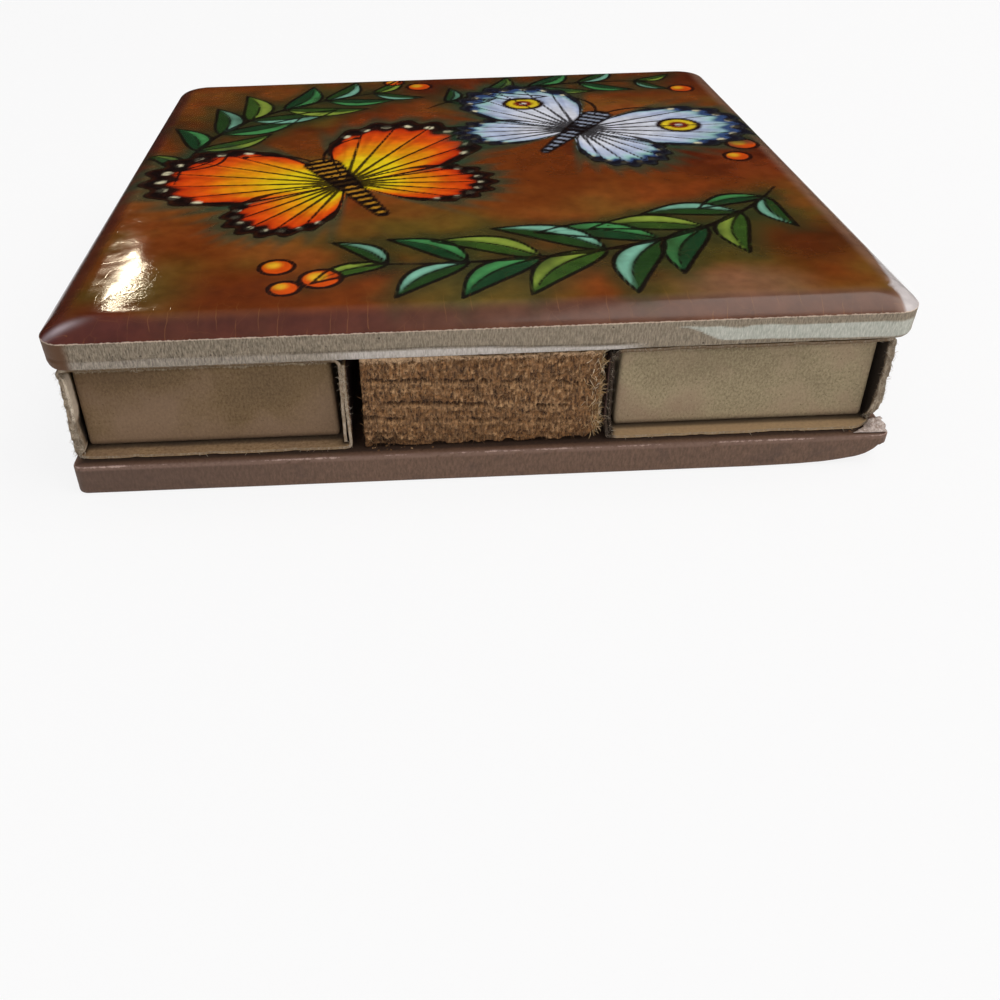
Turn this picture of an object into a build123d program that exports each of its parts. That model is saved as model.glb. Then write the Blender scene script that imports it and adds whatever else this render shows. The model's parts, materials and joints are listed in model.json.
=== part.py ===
from build123d import *

import os
from math import asin, cos, pi, sin

# Matchbox holder: a glazed tile on top, a painted plate below, and between them four card matchboxes
# and a wooden strip, all glued together. Two boxes open to the front and two to the back.
# Millimetres, +Z up, the front towards -Y. The origin is the centre of the plate's underside.

# Base plate, a piece of painted board with eased edges
base_thickness = 4.3
base_corner_radius = 2.0
base_edge_radius = 0.4

# Matchbox sleeve: one strip of card wrapped round, its ends lapped in the wall that faces the strip of wood
sleeve_width = 35.5
sleeve_height = 13.2
sleeve_length = 53.4
sleeve_card = 0.45
sleeve_fold_radius = 1.0
lap_short = 0.6

# Striking strip on each long side of a sleeve, short of the folds and of the sleeve's ends
striker_coat = 0.12
striker_fold_margin = 1.8
striker_end_margin = 1.2

# Matchbox drawer: a card tray whose side walls end in tabs that are folded in behind the end panels
drawer_card = 0.5
drawer_fold_radius = 0.6
tab_length = 9.0
tab_short = 0.4

# Room round a drawer in its sleeve: under it, over it, at each side, in front of it and behind it
drawer_lift = 0.15
drawer_headroom = 0.85
drawer_side_gap = 0.95
drawer_recess = 2.2
drawer_back_gap = 0.7

# Wooden strip, as high as the sleeves, with one broken lower corner
strip_width = 30.2
strip_offset = -0.15
strip_break = 1.3

# Gaps between the boxes and the strip, and between the backs of the boxes
left_gap = 1.8
right_gap = 1.05
back_gap = 0.8

# How far the plate, the tile and the strip reach past the boxes at each side and at each end
base_side_reach = 0.875
base_end_reach = 1.5
tile_side_reach = 1.975
tile_end_reach = 0.2
strip_end_reach = 0.1

# Glue between plate, boxes, strip and tile
glue_thickness = 0.15
glue_margin = 3.0
glue_corner_radius = 2.0

# Tile: side walls that lean in towards the underside, and a face that domes up inside its edge
tile_corner_radius = 3.5
tile_edge_height = 3.6
tile_undercut = 0.8
tile_lower_radius = 0.5
tile_crown = 2.0
tile_margin = 4.2
lower_round_steps = 2
dome_steps = 6

# Sizes that follow: the drawers fit the sleeves, and the plate, tile and strip cover the boxes
strip_height = sleeve_height
inner_width = sleeve_width - 2 * sleeve_card
inner_height = sleeve_height - 2 * sleeve_card
striker_height = sleeve_height - 2 * striker_fold_margin
drawer_width = inner_width - 2 * drawer_side_gap
drawer_height = inner_height - drawer_lift - drawer_headroom
drawer_length = sleeve_length - drawer_recess - drawer_back_gap
boxes_width = 2 * sleeve_width + left_gap + strip_width + right_gap
boxes_depth = 2 * sleeve_length + back_gap
base_width = boxes_width + 2 * base_side_reach
base_depth = boxes_depth + 2 * base_end_reach
tile_width = boxes_width + 2 * tile_side_reach
tile_depth = boxes_depth + 2 * tile_end_reach
strip_length = boxes_depth + 2 * strip_end_reach

# Levels and places that follow
glue_below_level = base_thickness
sleeve_level = glue_below_level + glue_thickness
glue_above_level = sleeve_level + sleeve_height
tile_level = glue_above_level + glue_thickness
box_back = back_gap / 2
box_centres = {
    "left": strip_offset - strip_width / 2 - left_gap - sleeve_width / 2,
    "right": strip_offset + strip_width / 2 + right_gap + sleeve_width / 2,
}
box_facings = {"front": -1, "back": 1}


def save(piece, name):
    """Label a finished piece and write it under its own name."""
    piece.part.label = name
    export_step(piece.part, f"parts/{name}.step")


def tile_levels():
    """Inset, height and corner radius of the tile's outline, from its underside up to its flat face."""
    levels = []
    for step in range(lower_round_steps + 1):
        turn = pi / 2 * step / lower_round_steps
        inset = tile_undercut + tile_lower_radius * (1 - sin(turn))
        levels.append((inset, tile_lower_radius * (1 - cos(turn))))
    dome_radius = (tile_margin**2 + tile_crown**2) / (2 * tile_crown)
    dome_angle = asin(tile_margin / dome_radius)
    for step in range(dome_steps + 1):
        angle = dome_angle * (1 - step / dome_steps)
        inset = tile_margin - dome_radius * sin(angle)
        height = tile_edge_height + tile_crown - dome_radius * (1 - cos(angle))
        levels.append((inset, height))
    return levels


def make_tile():
    """The glazed tile, as a stack of rounded squares joined by straight runs."""
    with BuildPart() as tile:
        for inset, height in tile_levels():
            with BuildSketch(Plane.XY.offset(tile_level + height)):
                RectangleRounded(tile_width - 2 * inset, tile_depth - 2 * inset, tile_corner_radius)
        loft(ruled=True)
    save(tile, "top_tile")


def make_base():
    """The painted base plate, with rounded corners and eased edges."""
    with BuildPart() as base:
        with BuildSketch(Plane.XY):
            RectangleRounded(base_width, base_depth, base_corner_radius)
        extrude(amount=base_thickness)
        flat_faces = base.faces().filter_by(Axis.Z)
        fillet(flat_faces.edges(), radius=base_edge_radius)
    save(base, "base_plate")


def make_strip():
    """The wooden strip between the boxes, its grain along Y and its lower right corner broken off."""
    with BuildPart() as strip:
        with BuildSketch(Plane.XZ):
            with Locations((strip_offset, sleeve_level + strip_height / 2)):
                Rectangle(strip_width, strip_height)
            lower_right = vertices().group_by(Axis.Y)[0].sort_by(Axis.X)[-1]
            chamfer(lower_right, length=strip_break)
        extrude(amount=strip_length / 2, both=True)
    save(strip, "centre_strip")


def box_plane(centre, facing, level):
    """A plane at a box's inner end: local x across the box, local y up, and the normal out of its mouth."""
    return Plane(origin=(centre, facing * box_back, level), x_dir=(-facing, 0, 0), z_dir=(0, facing, 0))


def make_sleeve(name, centre, facing, lap_side):
    """A sleeve: a wrapped card tube, with the inner end of the card lapped inside the wall on lap_side."""
    lap_top = sleeve_height - sleeve_card / 2
    lap_bottom = sleeve_card + lap_short
    lap_x = lap_side * (inner_width - sleeve_card) / 2
    with BuildPart() as sleeve:
        with BuildSketch(box_plane(centre, facing, sleeve_level)):
            with Locations((0, sleeve_height / 2)):
                RectangleRounded(sleeve_width, sleeve_height, sleeve_fold_radius)
                inner_radius = sleeve_fold_radius - sleeve_card
                RectangleRounded(inner_width, inner_height, inner_radius, mode=Mode.SUBTRACT)
            with Locations((lap_x, (lap_top + lap_bottom) / 2)):
                Rectangle(sleeve_card, lap_top - lap_bottom)
        extrude(amount=sleeve_length)
    save(sleeve, name + "_sleeve")


def make_drawer(name, centre, facing):
    """A drawer: a folded card tray, with the corner tabs behind each end panel."""
    plane = box_plane(centre, facing, sleeve_level + sleeve_card + drawer_lift).offset(drawer_back_gap)
    room_width = drawer_width - 2 * drawer_card
    tab_height = drawer_height - drawer_card - 2 * tab_short
    tab_x = (room_width - tab_length) / 2
    tab_places = [(side * tab_x, drawer_card + tab_short + tab_height / 2) for side in (-1, 1)]
    with BuildPart() as drawer:
        with BuildSketch(plane):
            with Locations((0, drawer_height / 2)):
                Rectangle(drawer_width, drawer_height)
        extrude(amount=drawer_length)
        underside = drawer.faces().sort_by(Axis.Z)[0]
        fillet(underside.edges(), radius=drawer_fold_radius)
        with BuildSketch(plane.offset(drawer_card)):
            with Locations((0, drawer_card + drawer_height / 2)):
                Rectangle(room_width, drawer_height)
        extrude(amount=drawer_length - 2 * drawer_card, mode=Mode.SUBTRACT)
        for tab_start in (drawer_card, drawer_length - 2 * drawer_card):
            with BuildSketch(plane.offset(tab_start)):
                with Locations(tab_places):
                    Rectangle(tab_length, tab_height)
            extrude(amount=drawer_card)
    save(drawer, name + "_drawer")


def make_striker(name, centre, facing, side):
    """A striking strip: a thin coat on one long side of a sleeve."""
    coat_x = -facing * side * (sleeve_width + striker_coat) / 2
    with BuildPart() as striker:
        with BuildSketch(box_plane(centre, facing, sleeve_level).offset(striker_end_margin)):
            with Locations((coat_x, sleeve_height / 2)):
                Rectangle(striker_coat, striker_height)
        extrude(amount=sleeve_length - 2 * striker_end_margin)
    save(striker, name)


def make_glue(name, centre, middle, width, length, level):
    """A pad of set glue under or over one glued piece."""
    with BuildPart() as glue:
        with BuildSketch(Plane.XY.offset(level)):
            with Locations((centre, middle)):
                RectangleRounded(width - 2 * glue_margin, length - 2 * glue_margin, glue_corner_radius)
        extrude(amount=glue_thickness)
    save(glue, name)


def make_glue_pair(name, centre, middle, width, length):
    """The two pads that hold one piece to the plate and to the tile."""
    make_glue(name + "_glue_below", centre, middle, width, length, glue_below_level)
    make_glue(name + "_glue_above", centre, middle, width, length, glue_above_level)


os.makedirs("parts", exist_ok=True)

make_base()
make_tile()
make_strip()
make_glue_pair("strip", strip_offset, 0, strip_width, strip_length)

for end, facing in box_facings.items():
    for hand, centre in box_centres.items():
        box_name = end + "_" + hand
        towards_strip = 1 if hand == "left" else -1
        make_sleeve(box_name, centre, facing, -facing * towards_strip)
        make_drawer(box_name, centre, facing)
        for striker_hand, side in (("left", -1), ("right", 1)):
            make_striker(box_name + "_striker_" + striker_hand, centre, facing, side)
        middle = facing * (box_back + sleeve_length / 2)
        make_glue_pair(box_name, centre, middle, sleeve_width, sleeve_length)
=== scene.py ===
# %% [markdown]
# A matchbox holder in Blender. The object is a desk piece: a glazed tile on top, a painted plate below, and
# between them four card matchboxes round a strip of rough wood. The solids come ready made, at their real
# size, so every cell here only dresses them: it reads a solid's box and puts a finer skin in its place.

# %% Load the frame
import json
import math

import bmesh
import bpy
import numpy as np
from mathutils import Matrix, Quaternion, Vector

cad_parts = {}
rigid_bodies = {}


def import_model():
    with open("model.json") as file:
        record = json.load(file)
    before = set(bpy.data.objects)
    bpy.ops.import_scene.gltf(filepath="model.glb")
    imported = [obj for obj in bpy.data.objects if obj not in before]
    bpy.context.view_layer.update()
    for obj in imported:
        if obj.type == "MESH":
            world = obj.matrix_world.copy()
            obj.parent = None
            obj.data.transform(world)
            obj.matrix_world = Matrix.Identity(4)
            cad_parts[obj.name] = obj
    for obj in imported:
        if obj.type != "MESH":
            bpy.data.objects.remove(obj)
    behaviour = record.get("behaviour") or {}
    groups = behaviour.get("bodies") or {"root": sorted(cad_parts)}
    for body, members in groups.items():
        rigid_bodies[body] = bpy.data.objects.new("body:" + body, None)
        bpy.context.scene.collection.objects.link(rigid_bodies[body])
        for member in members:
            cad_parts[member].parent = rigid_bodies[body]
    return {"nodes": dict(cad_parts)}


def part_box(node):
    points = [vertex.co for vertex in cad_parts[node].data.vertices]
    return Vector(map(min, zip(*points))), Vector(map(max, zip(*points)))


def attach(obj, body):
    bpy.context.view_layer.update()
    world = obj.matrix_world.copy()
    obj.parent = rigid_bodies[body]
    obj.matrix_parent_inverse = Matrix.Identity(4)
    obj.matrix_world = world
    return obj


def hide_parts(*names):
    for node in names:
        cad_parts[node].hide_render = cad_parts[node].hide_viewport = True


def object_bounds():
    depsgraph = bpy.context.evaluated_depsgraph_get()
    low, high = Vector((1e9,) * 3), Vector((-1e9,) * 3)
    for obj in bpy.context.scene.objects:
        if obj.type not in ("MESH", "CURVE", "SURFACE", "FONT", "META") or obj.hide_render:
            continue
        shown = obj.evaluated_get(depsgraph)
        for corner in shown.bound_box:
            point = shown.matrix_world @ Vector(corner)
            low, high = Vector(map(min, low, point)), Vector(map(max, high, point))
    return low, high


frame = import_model()
cad_box = [list(corner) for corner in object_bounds()]
MM = 0.001
print("nodes", len(frame["nodes"]), "box in mm", [[round(c / MM, 2) for c in corner] for corner in cad_box])


def box_of(node_name):
    """The low and the high corner of a solid's box, in millimetres."""
    return [np.array(corner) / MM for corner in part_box(node_name)]

# %% [markdown]
# The camera stands in front of the holder and looks down on it, as in the photograph. Its place, its turns
# and its focal length were worked out from the corners of the tile, the boxes and the plate. The picture's
# optical centre lies left of and above the middle of the frame, which Blender calls shift.

# %% Camera
camera_place = Vector((-8.891, -160.281, 78.5)) * MM
camera_turn, camera_dip, camera_lean = 0.0195, 0.6015, -0.0291
image_side = 1000
focal_length = 999.7
optical_centre = (430, 440)

ahead = Vector((math.sin(camera_turn) * math.cos(camera_dip), math.cos(camera_turn) * math.cos(camera_dip),
                -math.sin(camera_dip)))
level_right = Vector((math.cos(camera_turn), -math.sin(camera_turn), 0))
level_up = level_right.cross(ahead)
lean = Matrix.Rotation(-camera_lean, 3, ahead)
turned = Matrix((lean @ level_right, lean @ level_up, -ahead)).transposed().to_4x4()

camera = bpy.data.objects.new("camera", bpy.data.cameras.new("camera"))
camera.matrix_world = Matrix.Translation(camera_place) @ turned
camera.data.sensor_width = 36
camera.data.lens = camera.data.sensor_width * focal_length / image_side
camera.data.shift_x = (image_side / 2 - optical_centre[0]) / image_side
camera.data.shift_y = (optical_centre[1] - image_side / 2) / image_side
camera.data.clip_start = 10 * MM
bpy.context.scene.collection.objects.link(camera)
bpy.context.scene.camera = camera
bpy.context.scene.view_settings.view_transform = "Standard"
print("lens", round(camera.data.lens, 2), "shift", round(camera.data.shift_x, 3),
      round(camera.data.shift_y, 3))

# %% [markdown]
# A few small helpers serve every cell below. A colour is written as a designer would, in hex, and turned to
# the linear values that Blender mixes. A node is added with its settings and its links in one line. The
# nodes that the finishes use again and again are listed once as recipes, so a line of a material says only
# what goes in. A material starts as one Principled surface, and each finish adds what makes it look like
# its real counterpart.

# %% Colours, nodes and materials
def colour(code):
    """Linear red, green, blue and alpha of a hex colour."""
    shares = [int(code[k:k + 2], 16) / 255 for k in (1, 3, 5)]
    return [s / 12.92 if s <= 0.04045 else ((s + 0.055) / 1.055) ** 2.4 for s in shares] + [1.0]


def feed(tree, node, inputs):
    """Fills a node's sockets: another node's result is linked, a number or a hex colour is set."""
    for socket, value in inputs.items():
        if isinstance(value, bpy.types.NodeSocket):
            tree.links.new(value, node.inputs[socket])
        elif isinstance(value, str) and value.startswith("#"):
            node.inputs[socket].default_value = colour(value)
        else:
            node.inputs[socket].default_value = value
    return node


def add(tree, kind, inputs=(), **settings):
    """A new node: settings are its own choices, inputs are values or results for its sockets."""
    node = tree.nodes.new(kind)
    for name, value in settings.items():
        setattr(node, name, value)
    return feed(tree, node, dict(inputs))


def start_material(name):
    """An empty material with one Principled surface, as (material, tree, surface)."""
    material = bpy.data.materials.new(name)
    material.use_nodes = True
    tree = material.node_tree
    tree.nodes.clear()
    surface = add(tree, "ShaderNodeBsdfPrincipled")
    add(tree, "ShaderNodeOutputMaterial", {"Surface": surface.outputs[0]})
    return material, tree, surface


# name: (kind of node, its sockets in order, the result it passes on, its settings)
recipes = {
    "place": ("ShaderNodeTexCoord", (), "Object", {}),
    "fact": ("ShaderNodeAttribute", (), "Fac", {}),
    "tint": ("ShaderNodeAttribute", (), "Color", {}),
    "east": ("ShaderNodeSeparateXYZ", (0,), "X", {}),
    "north": ("ShaderNodeSeparateXYZ", (0,), "Y", {}),
    "height": ("ShaderNodeSeparateXYZ", (0,), "Z", {}),
    "stretch": ("ShaderNodeMapping", ("Vector", "Scale"), 0, {}),
    "noise": ("ShaderNodeTexNoise", ("Vector", "Scale", "Detail", "Roughness"), "Fac", {}),
    "cells": ("ShaderNodeTexVoronoi", ("Vector", "Scale"), "Distance", {}),
    "ramp": ("ShaderNodeMapRange", (0, 1, 2, 3, 4), 0, {}),
    "plus": ("ShaderNodeMath", (0, 1), 0, {}),
    "times": ("ShaderNodeMath", (0, 1), 0, {"operation": "MULTIPLY"}),
    "times_plus": ("ShaderNodeMath", (0, 1, 2), 0, {"operation": "MULTIPLY_ADD"}),
    "math": ("ShaderNodeMath", (0, 1), 0, {}),
    "vector": ("ShaderNodeVectorMath", (0, 1), 0, {}),
    "measure": ("ShaderNodeVectorMath", (0, 1), "Value", {}),
    "mix": ("ShaderNodeMix", (0, 6, 7), 2, {"data_type": "RGBA"}),
    "mix_value": ("ShaderNodeMix", (0, 2, 3), 0, {}),
    "bump": ("ShaderNodeBump", ("Strength", "Distance", "Height"), 0, {}),
}


def part(name, *values, **settings):
    """A node of the material at hand, by its recipe, fed in order; gives the result it passes on."""
    kind, sockets, passed_on, fixed = recipes[name]
    return add(tree, kind, zip(sockets, values), **fixed, **settings).outputs[passed_on]


def dress(surface, base, roughness, relief, strength, depth=0.12):
    """Gives a surface its colour, its roughness and a fine relief, whose depth is in millimetres."""
    bump = part("bump", strength, depth * MM, relief)
    feed(tree, surface, {"Base Color": base, "Roughness": roughness, "Normal": bump})


def per(size):
    """The scale of a texture whose grain is this many millimetres across."""
    return 1 / (size * MM)

# %% [markdown]
# A plain studio: a white sweep that runs from under the holder up into a low wall, and a soft sky. A glossy
# glaze shows whatever stands behind it, so the sky is dim just above the wall: without that the painted
# face would wash out.

# %% Studio
floor_radius, sweep_radius, wall_height = 0.9, 0.2, 0.3
sweep_steps, round_steps = 10, 96
profile = [(0.001, 0.0), (floor_radius, 0.0)]
for step in range(1, sweep_steps + 1):
    angle = math.pi / 2 * step / sweep_steps
    profile.append((floor_radius + sweep_radius * math.sin(angle), sweep_radius * (1 - math.cos(angle))))
profile.append((floor_radius + sweep_radius, wall_height))
sweep_points, sweep_faces = [], []
for radius, height in profile:
    for k in range(round_steps):
        turn = 2 * math.pi * k / round_steps
        sweep_points.append((radius * math.cos(turn), radius * math.sin(turn), height))
for row in range(len(profile) - 1):
    for k in range(round_steps):
        a, b = row * round_steps + k, row * round_steps + (k + 1) % round_steps
        sweep_faces.append((a, a + round_steps, b + round_steps, b))
sweep_faces.append(tuple(range(round_steps)))
sweep_mesh = bpy.data.meshes.new("studio_sweep")
sweep_mesh.from_pydata(sweep_points, [], sweep_faces)
sweep_mesh.polygons.foreach_set("use_smooth", [True] * len(sweep_mesh.polygons))
sweep = bpy.data.objects.new("studio_sweep", sweep_mesh)
bpy.context.scene.collection.objects.link(sweep)

paper, tree, surface = start_material("white_background_paper")
feed(tree, surface, {"Base Color": "#f7f7f6", "Roughness": 0.9, "Specular IOR Level": 0.1})
seen_by = add(tree, "ShaderNodeLightPath").outputs
direct = part("plus", seen_by["Is Camera Ray"], seen_by["Is Glossy Ray"])
direct = part("plus", direct, seen_by["Is Transmission Ray"])
whitened = part("times", direct, 0.85, use_clamp=True)
white = add(tree, "ShaderNodeEmission", {"Color": "#ffffff", "Strength": 1.0}).outputs[0]
backdrop = add(tree, "ShaderNodeMixShader", {0: whitened, 1: surface.outputs[0], 2: white}).outputs[0]
feed(tree, tree.nodes["Material Output"], {"Surface": backdrop})
sweep_mesh.materials.append(paper)

sky = bpy.data.worlds.new("studio_sky")
sky.use_nodes = True
tree = sky.node_tree
tree.nodes.clear()
way = add(tree, "ShaderNodeTexCoord").outputs["Generated"]
upwards = part("height", way)
mirrored = add(tree, "ShaderNodeLightPath").outputs["Is Glossy Ray"]
dim_level = part("ramp", mirrored, 0, 1, 0.13, 0.04)
leave_wall = part("ramp", upwards, 0.1, 0.2, 0.85, dim_level)
top_level = part("ramp", mirrored, 0, 1, 0.45, 0.3)
reach_top = part("ramp", upwards, 0.5, 0.85, 0.0, top_level)
strength = part("plus", leave_wall, reach_top)
glow = add(tree, "ShaderNodeBackground", {"Color": "#f4f6ff", "Strength": strength}).outputs[0]
add(tree, "ShaderNodeOutputWorld", {"Surface": glow})
bpy.context.scene.world = sky
print("studio", len(sweep_points), "points in the sweep")

# %% [markdown]
# One large soft box above on the right gives the light its direction, and a weak fill opens the shadows in
# front. A small warm lamp far behind stands exactly where a mirror lying on the tile would send the
# camera's look, so its image falls on one chosen spot of the glaze near the left edge. A photographer also
# stands a black card, a flag, beside a glossy thing to darken its edge; this one only shows in the gloss,
# and it keeps the left and right margins dark.

# %% Lamps and a flag
def lamp(name, place, target, size, power, tint, roll=0.0, shape="RECTANGLE"):
    """A soft lamp at a place, turned towards a target and rolled; metres, watts and degrees."""
    data = bpy.data.lights.new(name, "AREA")
    data.shape, data.size, data.size_y = shape, size[0], size[1]
    data.energy, data.color = power, colour(tint)[:3]
    light = bpy.data.objects.new(name, data)
    light.location = place
    aim = (Vector(target) - Vector(place)).to_track_quat("-Z", "Y")
    light.rotation_euler = (aim @ Quaternion((0, 0, 1), math.radians(roll))).to_euler()
    bpy.context.scene.collection.objects.link(light)


glint_place = Vector((-45.7, -41.3, 23.4)) * MM
glint_way = glint_place - camera_place
glint_way.z = -glint_way.z
lamp("soft_box_right", (0.62, -0.12, 0.85), (0, 0, 0), (1.0, 1.0), 6.0, "#fff8f2")
lamp("front_fill", (-0.25, -1.0, 0.5), (0, 0, 0), (0.9, 0.5), 3.2, "#ffffff")
glint_from = glint_place + glint_way.normalized() * 0.8
lamp("window_glint", glint_from, glint_place, (0.052, 0.0085), 0.05, "#fff0d0", 43, "ELLIPSE")

flag_mesh = bpy.data.meshes.new("black_flag")
flag_points, flag_faces = [], []
flag_steps, flag_start, flag_step = 35, 17, 5
for k in range(flag_steps):
    turn = math.radians(flag_start + flag_step * k)
    for reach, height in ((0.12, 0.0015), (0.84, 0.0015), (0.84, 0.42)):
        flag_points.append((reach * math.cos(turn), reach * math.sin(turn), height))
for k in range(flag_steps - 1):
    for row in range(2):
        a = 3 * k + row
        flag_faces.append((a, a + 1, a + 4, a + 3))
flag_mesh.from_pydata(flag_points, [], flag_faces)
flag = bpy.data.objects.new("black_flag", flag_mesh)
flag.visible_camera = flag.visible_shadow = flag.visible_diffuse = flag.visible_transmission = False
bpy.context.scene.collection.objects.link(flag)
black_card, tree, surface = start_material("black_flag_card")
feed(tree, surface, {"Base Color": "#1c1418", "Roughness": 0.9})
flag_mesh.materials.append(black_card)

# %% [markdown]
# Random but repeatable unevenness comes from value noise: random heights at the corners of a grid, joined
# by smooth slopes. Written for whole arrays of points, it is quick enough for meshes with many thousand
# points, and the same seed always gives the same surface.

# %% Noise for shapes
def corner_value(ix, iy, seed):
    """A random value from 0 to 1 that belongs to one corner of the grid."""
    mixed = (ix * 374761393 + iy * 668265263 + seed * 1442695041) & 0xFFFFFFFF
    mixed = ((mixed ^ (mixed >> 13)) * 1274126177) & 0xFFFFFFFF
    return ((mixed ^ (mixed >> 16)) & 0xFFFF) / 0xFFFF


def noise(x, y, size, seed):
    """Smooth noise from 0 to 1 with hills about size across; x, y and size in the same unit."""
    u, v = np.asarray(x, float) / size, np.asarray(y, float) / size
    iu, iv = np.floor(u).astype(np.int64), np.floor(v).astype(np.int64)
    fu, fv = u - iu, v - iv
    fu, fv = fu * fu * (3 - 2 * fu), fv * fv * (3 - 2 * fv)
    low = corner_value(iu, iv, seed) * (1 - fu) + corner_value(iu + 1, iv, seed) * fu
    high = corner_value(iu, iv + 1, seed) * (1 - fu) + corner_value(iu + 1, iv + 1, seed) * fu
    return low * (1 - fv) + high * fv


def clouds(x, y, size, seed, octaves=4):
    """Noise in several sizes, each half the last, from 0 to 1."""
    total, weight = 0.0, 0.0
    for k in range(octaves):
        share = 0.55 ** k
        total = total + share * noise(x, y, size / 2 ** k, seed + 17 * k)
        weight += share
    return total / weight


def ease(value, start, end):
    """0 before start, 1 after end, and a smooth rise between."""
    t = np.clip((value - start) / (end - start), 0, 1)
    return t * t * (3 - 2 * t)


def blended(one, other, share):
    """From one to the other, as far as each share says from 0 to 1."""
    return one * (1 - share[..., None]) + other * share[..., None]

# %% [markdown]
# Most skins here are a net of points: rows that follow each other, closed round or open. The helper below
# turns such nets into faces, makes the object, stores what each point knows about its finish as attributes,
# and then sets the piece on the body it moves with and hides the solid it stands for.

# %% Nets of points into pieces
def net(rows, columns, closed=False, first=0):
    """Faces of a net of rows times columns points, numbered row by row from first."""
    r, c = np.meshgrid(np.arange(rows - 1), np.arange(columns if closed else columns - 1), indexing="ij")
    after = (c + 1) % columns
    a = first + r * columns + c
    b = first + r * columns + after
    return np.stack([a, b, b + columns, a + columns], -1).reshape(-1, 4).tolist()


def shares_over(rows, columns):
    """Two nets of shares from 0 to 1: how far along the rows and the columns each point is."""
    return np.meshgrid(np.linspace(0, 1, rows), np.linspace(0, 1, columns), indexing="ij")


def border_of(grid):
    """The border of a net of values, once round."""
    return np.concatenate([grid[0, :-1], grid[:-1, -1], grid[-1, :0:-1], grid[:0:-1, 0]])


def sheet(rows, columns, first=0):
    """Faces of a sheet with two sides: two equal nets back to back, joined all round their borders."""
    count = rows * columns
    edge = border_of(np.arange(count).reshape(rows, columns)) + first
    following = np.roll(edge, -1)
    front, back = net(rows, columns, False, first), net(rows, columns, False, first + count)
    faces = front + [face[::-1] for face in back]
    return faces + np.stack([edge, following, count + following, count + edge], -1).tolist()


def make_piece(name, points, faces, materials, face_materials=None, **attributes):
    """A mesh object from points in metres, with its materials and its attributes by point."""
    mesh = bpy.data.meshes.new(name)
    mesh.from_pydata(np.asarray(points, float).tolist(), [], faces)
    for material in materials:
        mesh.materials.append(material)
    if face_materials is not None:
        mesh.polygons.foreach_set("material_index", np.asarray(face_materials, np.int32))
    mesh.polygons.foreach_set("use_smooth", [True] * len(mesh.polygons))
    for label, values in attributes.items():
        values = np.asarray(values, np.float32)
        if values.ndim == 1:
            mesh.attributes.new(label, "FLOAT", "POINT").data.foreach_set("value", values)
        else:
            full = np.concatenate([values, np.ones((len(values), 1), np.float32)], 1)
            mesh.attributes.new(label, "FLOAT_COLOR", "POINT").data.foreach_set("color", full.ravel())
    mesh.validate()
    piece = bpy.data.objects.new(name, mesh)
    bpy.context.scene.collection.objects.link(piece)
    return piece


def face_outwards(piece):
    """Turns every face of a closed skin outwards."""
    skin = bmesh.new()
    skin.from_mesh(piece.data)
    bmesh.ops.recalc_face_normals(skin, faces=skin.faces)
    skin.to_mesh(piece.data)
    skin.free()


def settle(piece, body, slot, *stands_for):
    """Tells the frame what this piece rides on and hides the solids it stands for; the slot is not used."""
    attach(piece, body)
    if stands_for:
        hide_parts(*stands_for)
    count = sum(len(face.vertices) - 2 for face in piece.data.polygons)
    print(piece.name, "triangles", count)


def ring(half_x, half_y, radius, straight_steps, corner_steps):
    """Points of a rounded rectangle in order, from the lower right corner, in millimetres."""
    places = []
    for k, (side_x, side_y) in enumerate(((1, -1), (1, 1), (-1, 1), (-1, -1))):
        middle = np.array([side_x * (half_x - radius), side_y * (half_y - radius)])
        for step in range(corner_steps):
            angle = math.pi / 2 * (k - 1 + step / corner_steps)
            places.append(middle + radius * np.array([math.cos(angle), math.sin(angle)]))
        angle = math.pi / 2 * k
        start = middle + radius * np.array([math.cos(angle), math.sin(angle)])
        next_x, next_y = ((1, 1), (-1, 1), (-1, -1), (1, -1))[k]
        end = np.array([next_x * (half_x - radius), next_y * (half_y - radius)])
        end = end + radius * np.array([math.cos(angle), math.sin(angle)])
        places.extend(start + (end - start) * step / straight_steps for step in range(straight_steps))
    return np.array(places)

# %% [markdown]
# The tile's face. The glaze lies on a cushion: flat in the middle, rolling down to a sharp arris all round.
# A regular net of points is laid over it, and the rows near the edge are bent round the corners. The net is
# finer over the rolled margin than in the middle, because that is where the shape changes.

# %% Net of the tile
tile_low, tile_high = box_of("top_tile")
tile_half = (tile_high[0] - tile_low[0]) / 2
tile_bottom, tile_top = tile_low[2], tile_high[2]
corner_radius = 3.5
crown, margin = 2.0, 4.2
edge_height = tile_top - crown - tile_bottom
undercut, lower_round = 0.8, 0.5
flat_cells, margin_cells = 236, 16

flat_half = tile_half - margin
inner = np.linspace(-flat_half, flat_half, flat_cells + 1)
outer = tile_half - margin * (1 - np.arange(1, margin_cells + 1) / margin_cells) ** 1.7
lines = np.concatenate([-outer[::-1], inner, outer])
side_points = len(lines)
dome_radius = (margin ** 2 + crown ** 2) / (2 * crown)

square_x, square_y = np.meshgrid(lines, lines)
level = np.maximum(abs(square_x), abs(square_y))
along = np.minimum(abs(square_x), abs(square_y))
bend = np.maximum(corner_radius * np.clip(level / flat_half, 0, 1) ** 4, 1e-6)
angle = np.clip((along - (level - bend)) / bend, 0, 1) * math.pi / 4
major = np.where(along > level - bend, level - bend + bend * np.cos(angle), level)
minor = np.where(along > level - bend, level - bend + bend * np.sin(angle), along)
wide = abs(square_x) >= abs(square_y)
tile_x = np.sign(square_x) * np.where(wide, major, minor)
tile_y = np.sign(square_y) * np.where(wide, minor, major)
inset = tile_half - level
roll = np.clip(margin - inset, 0, None)
tile_z = tile_top - (dome_radius - np.sqrt(dome_radius ** 2 - roll ** 2))
tile_z -= 0.05 * clouds(tile_x, tile_y, 14, 3) * ease(inset, 0.5, 6)
print("tile face", tile_x.shape, "cell", round(inner[1] - inner[0], 3), "mm")

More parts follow.
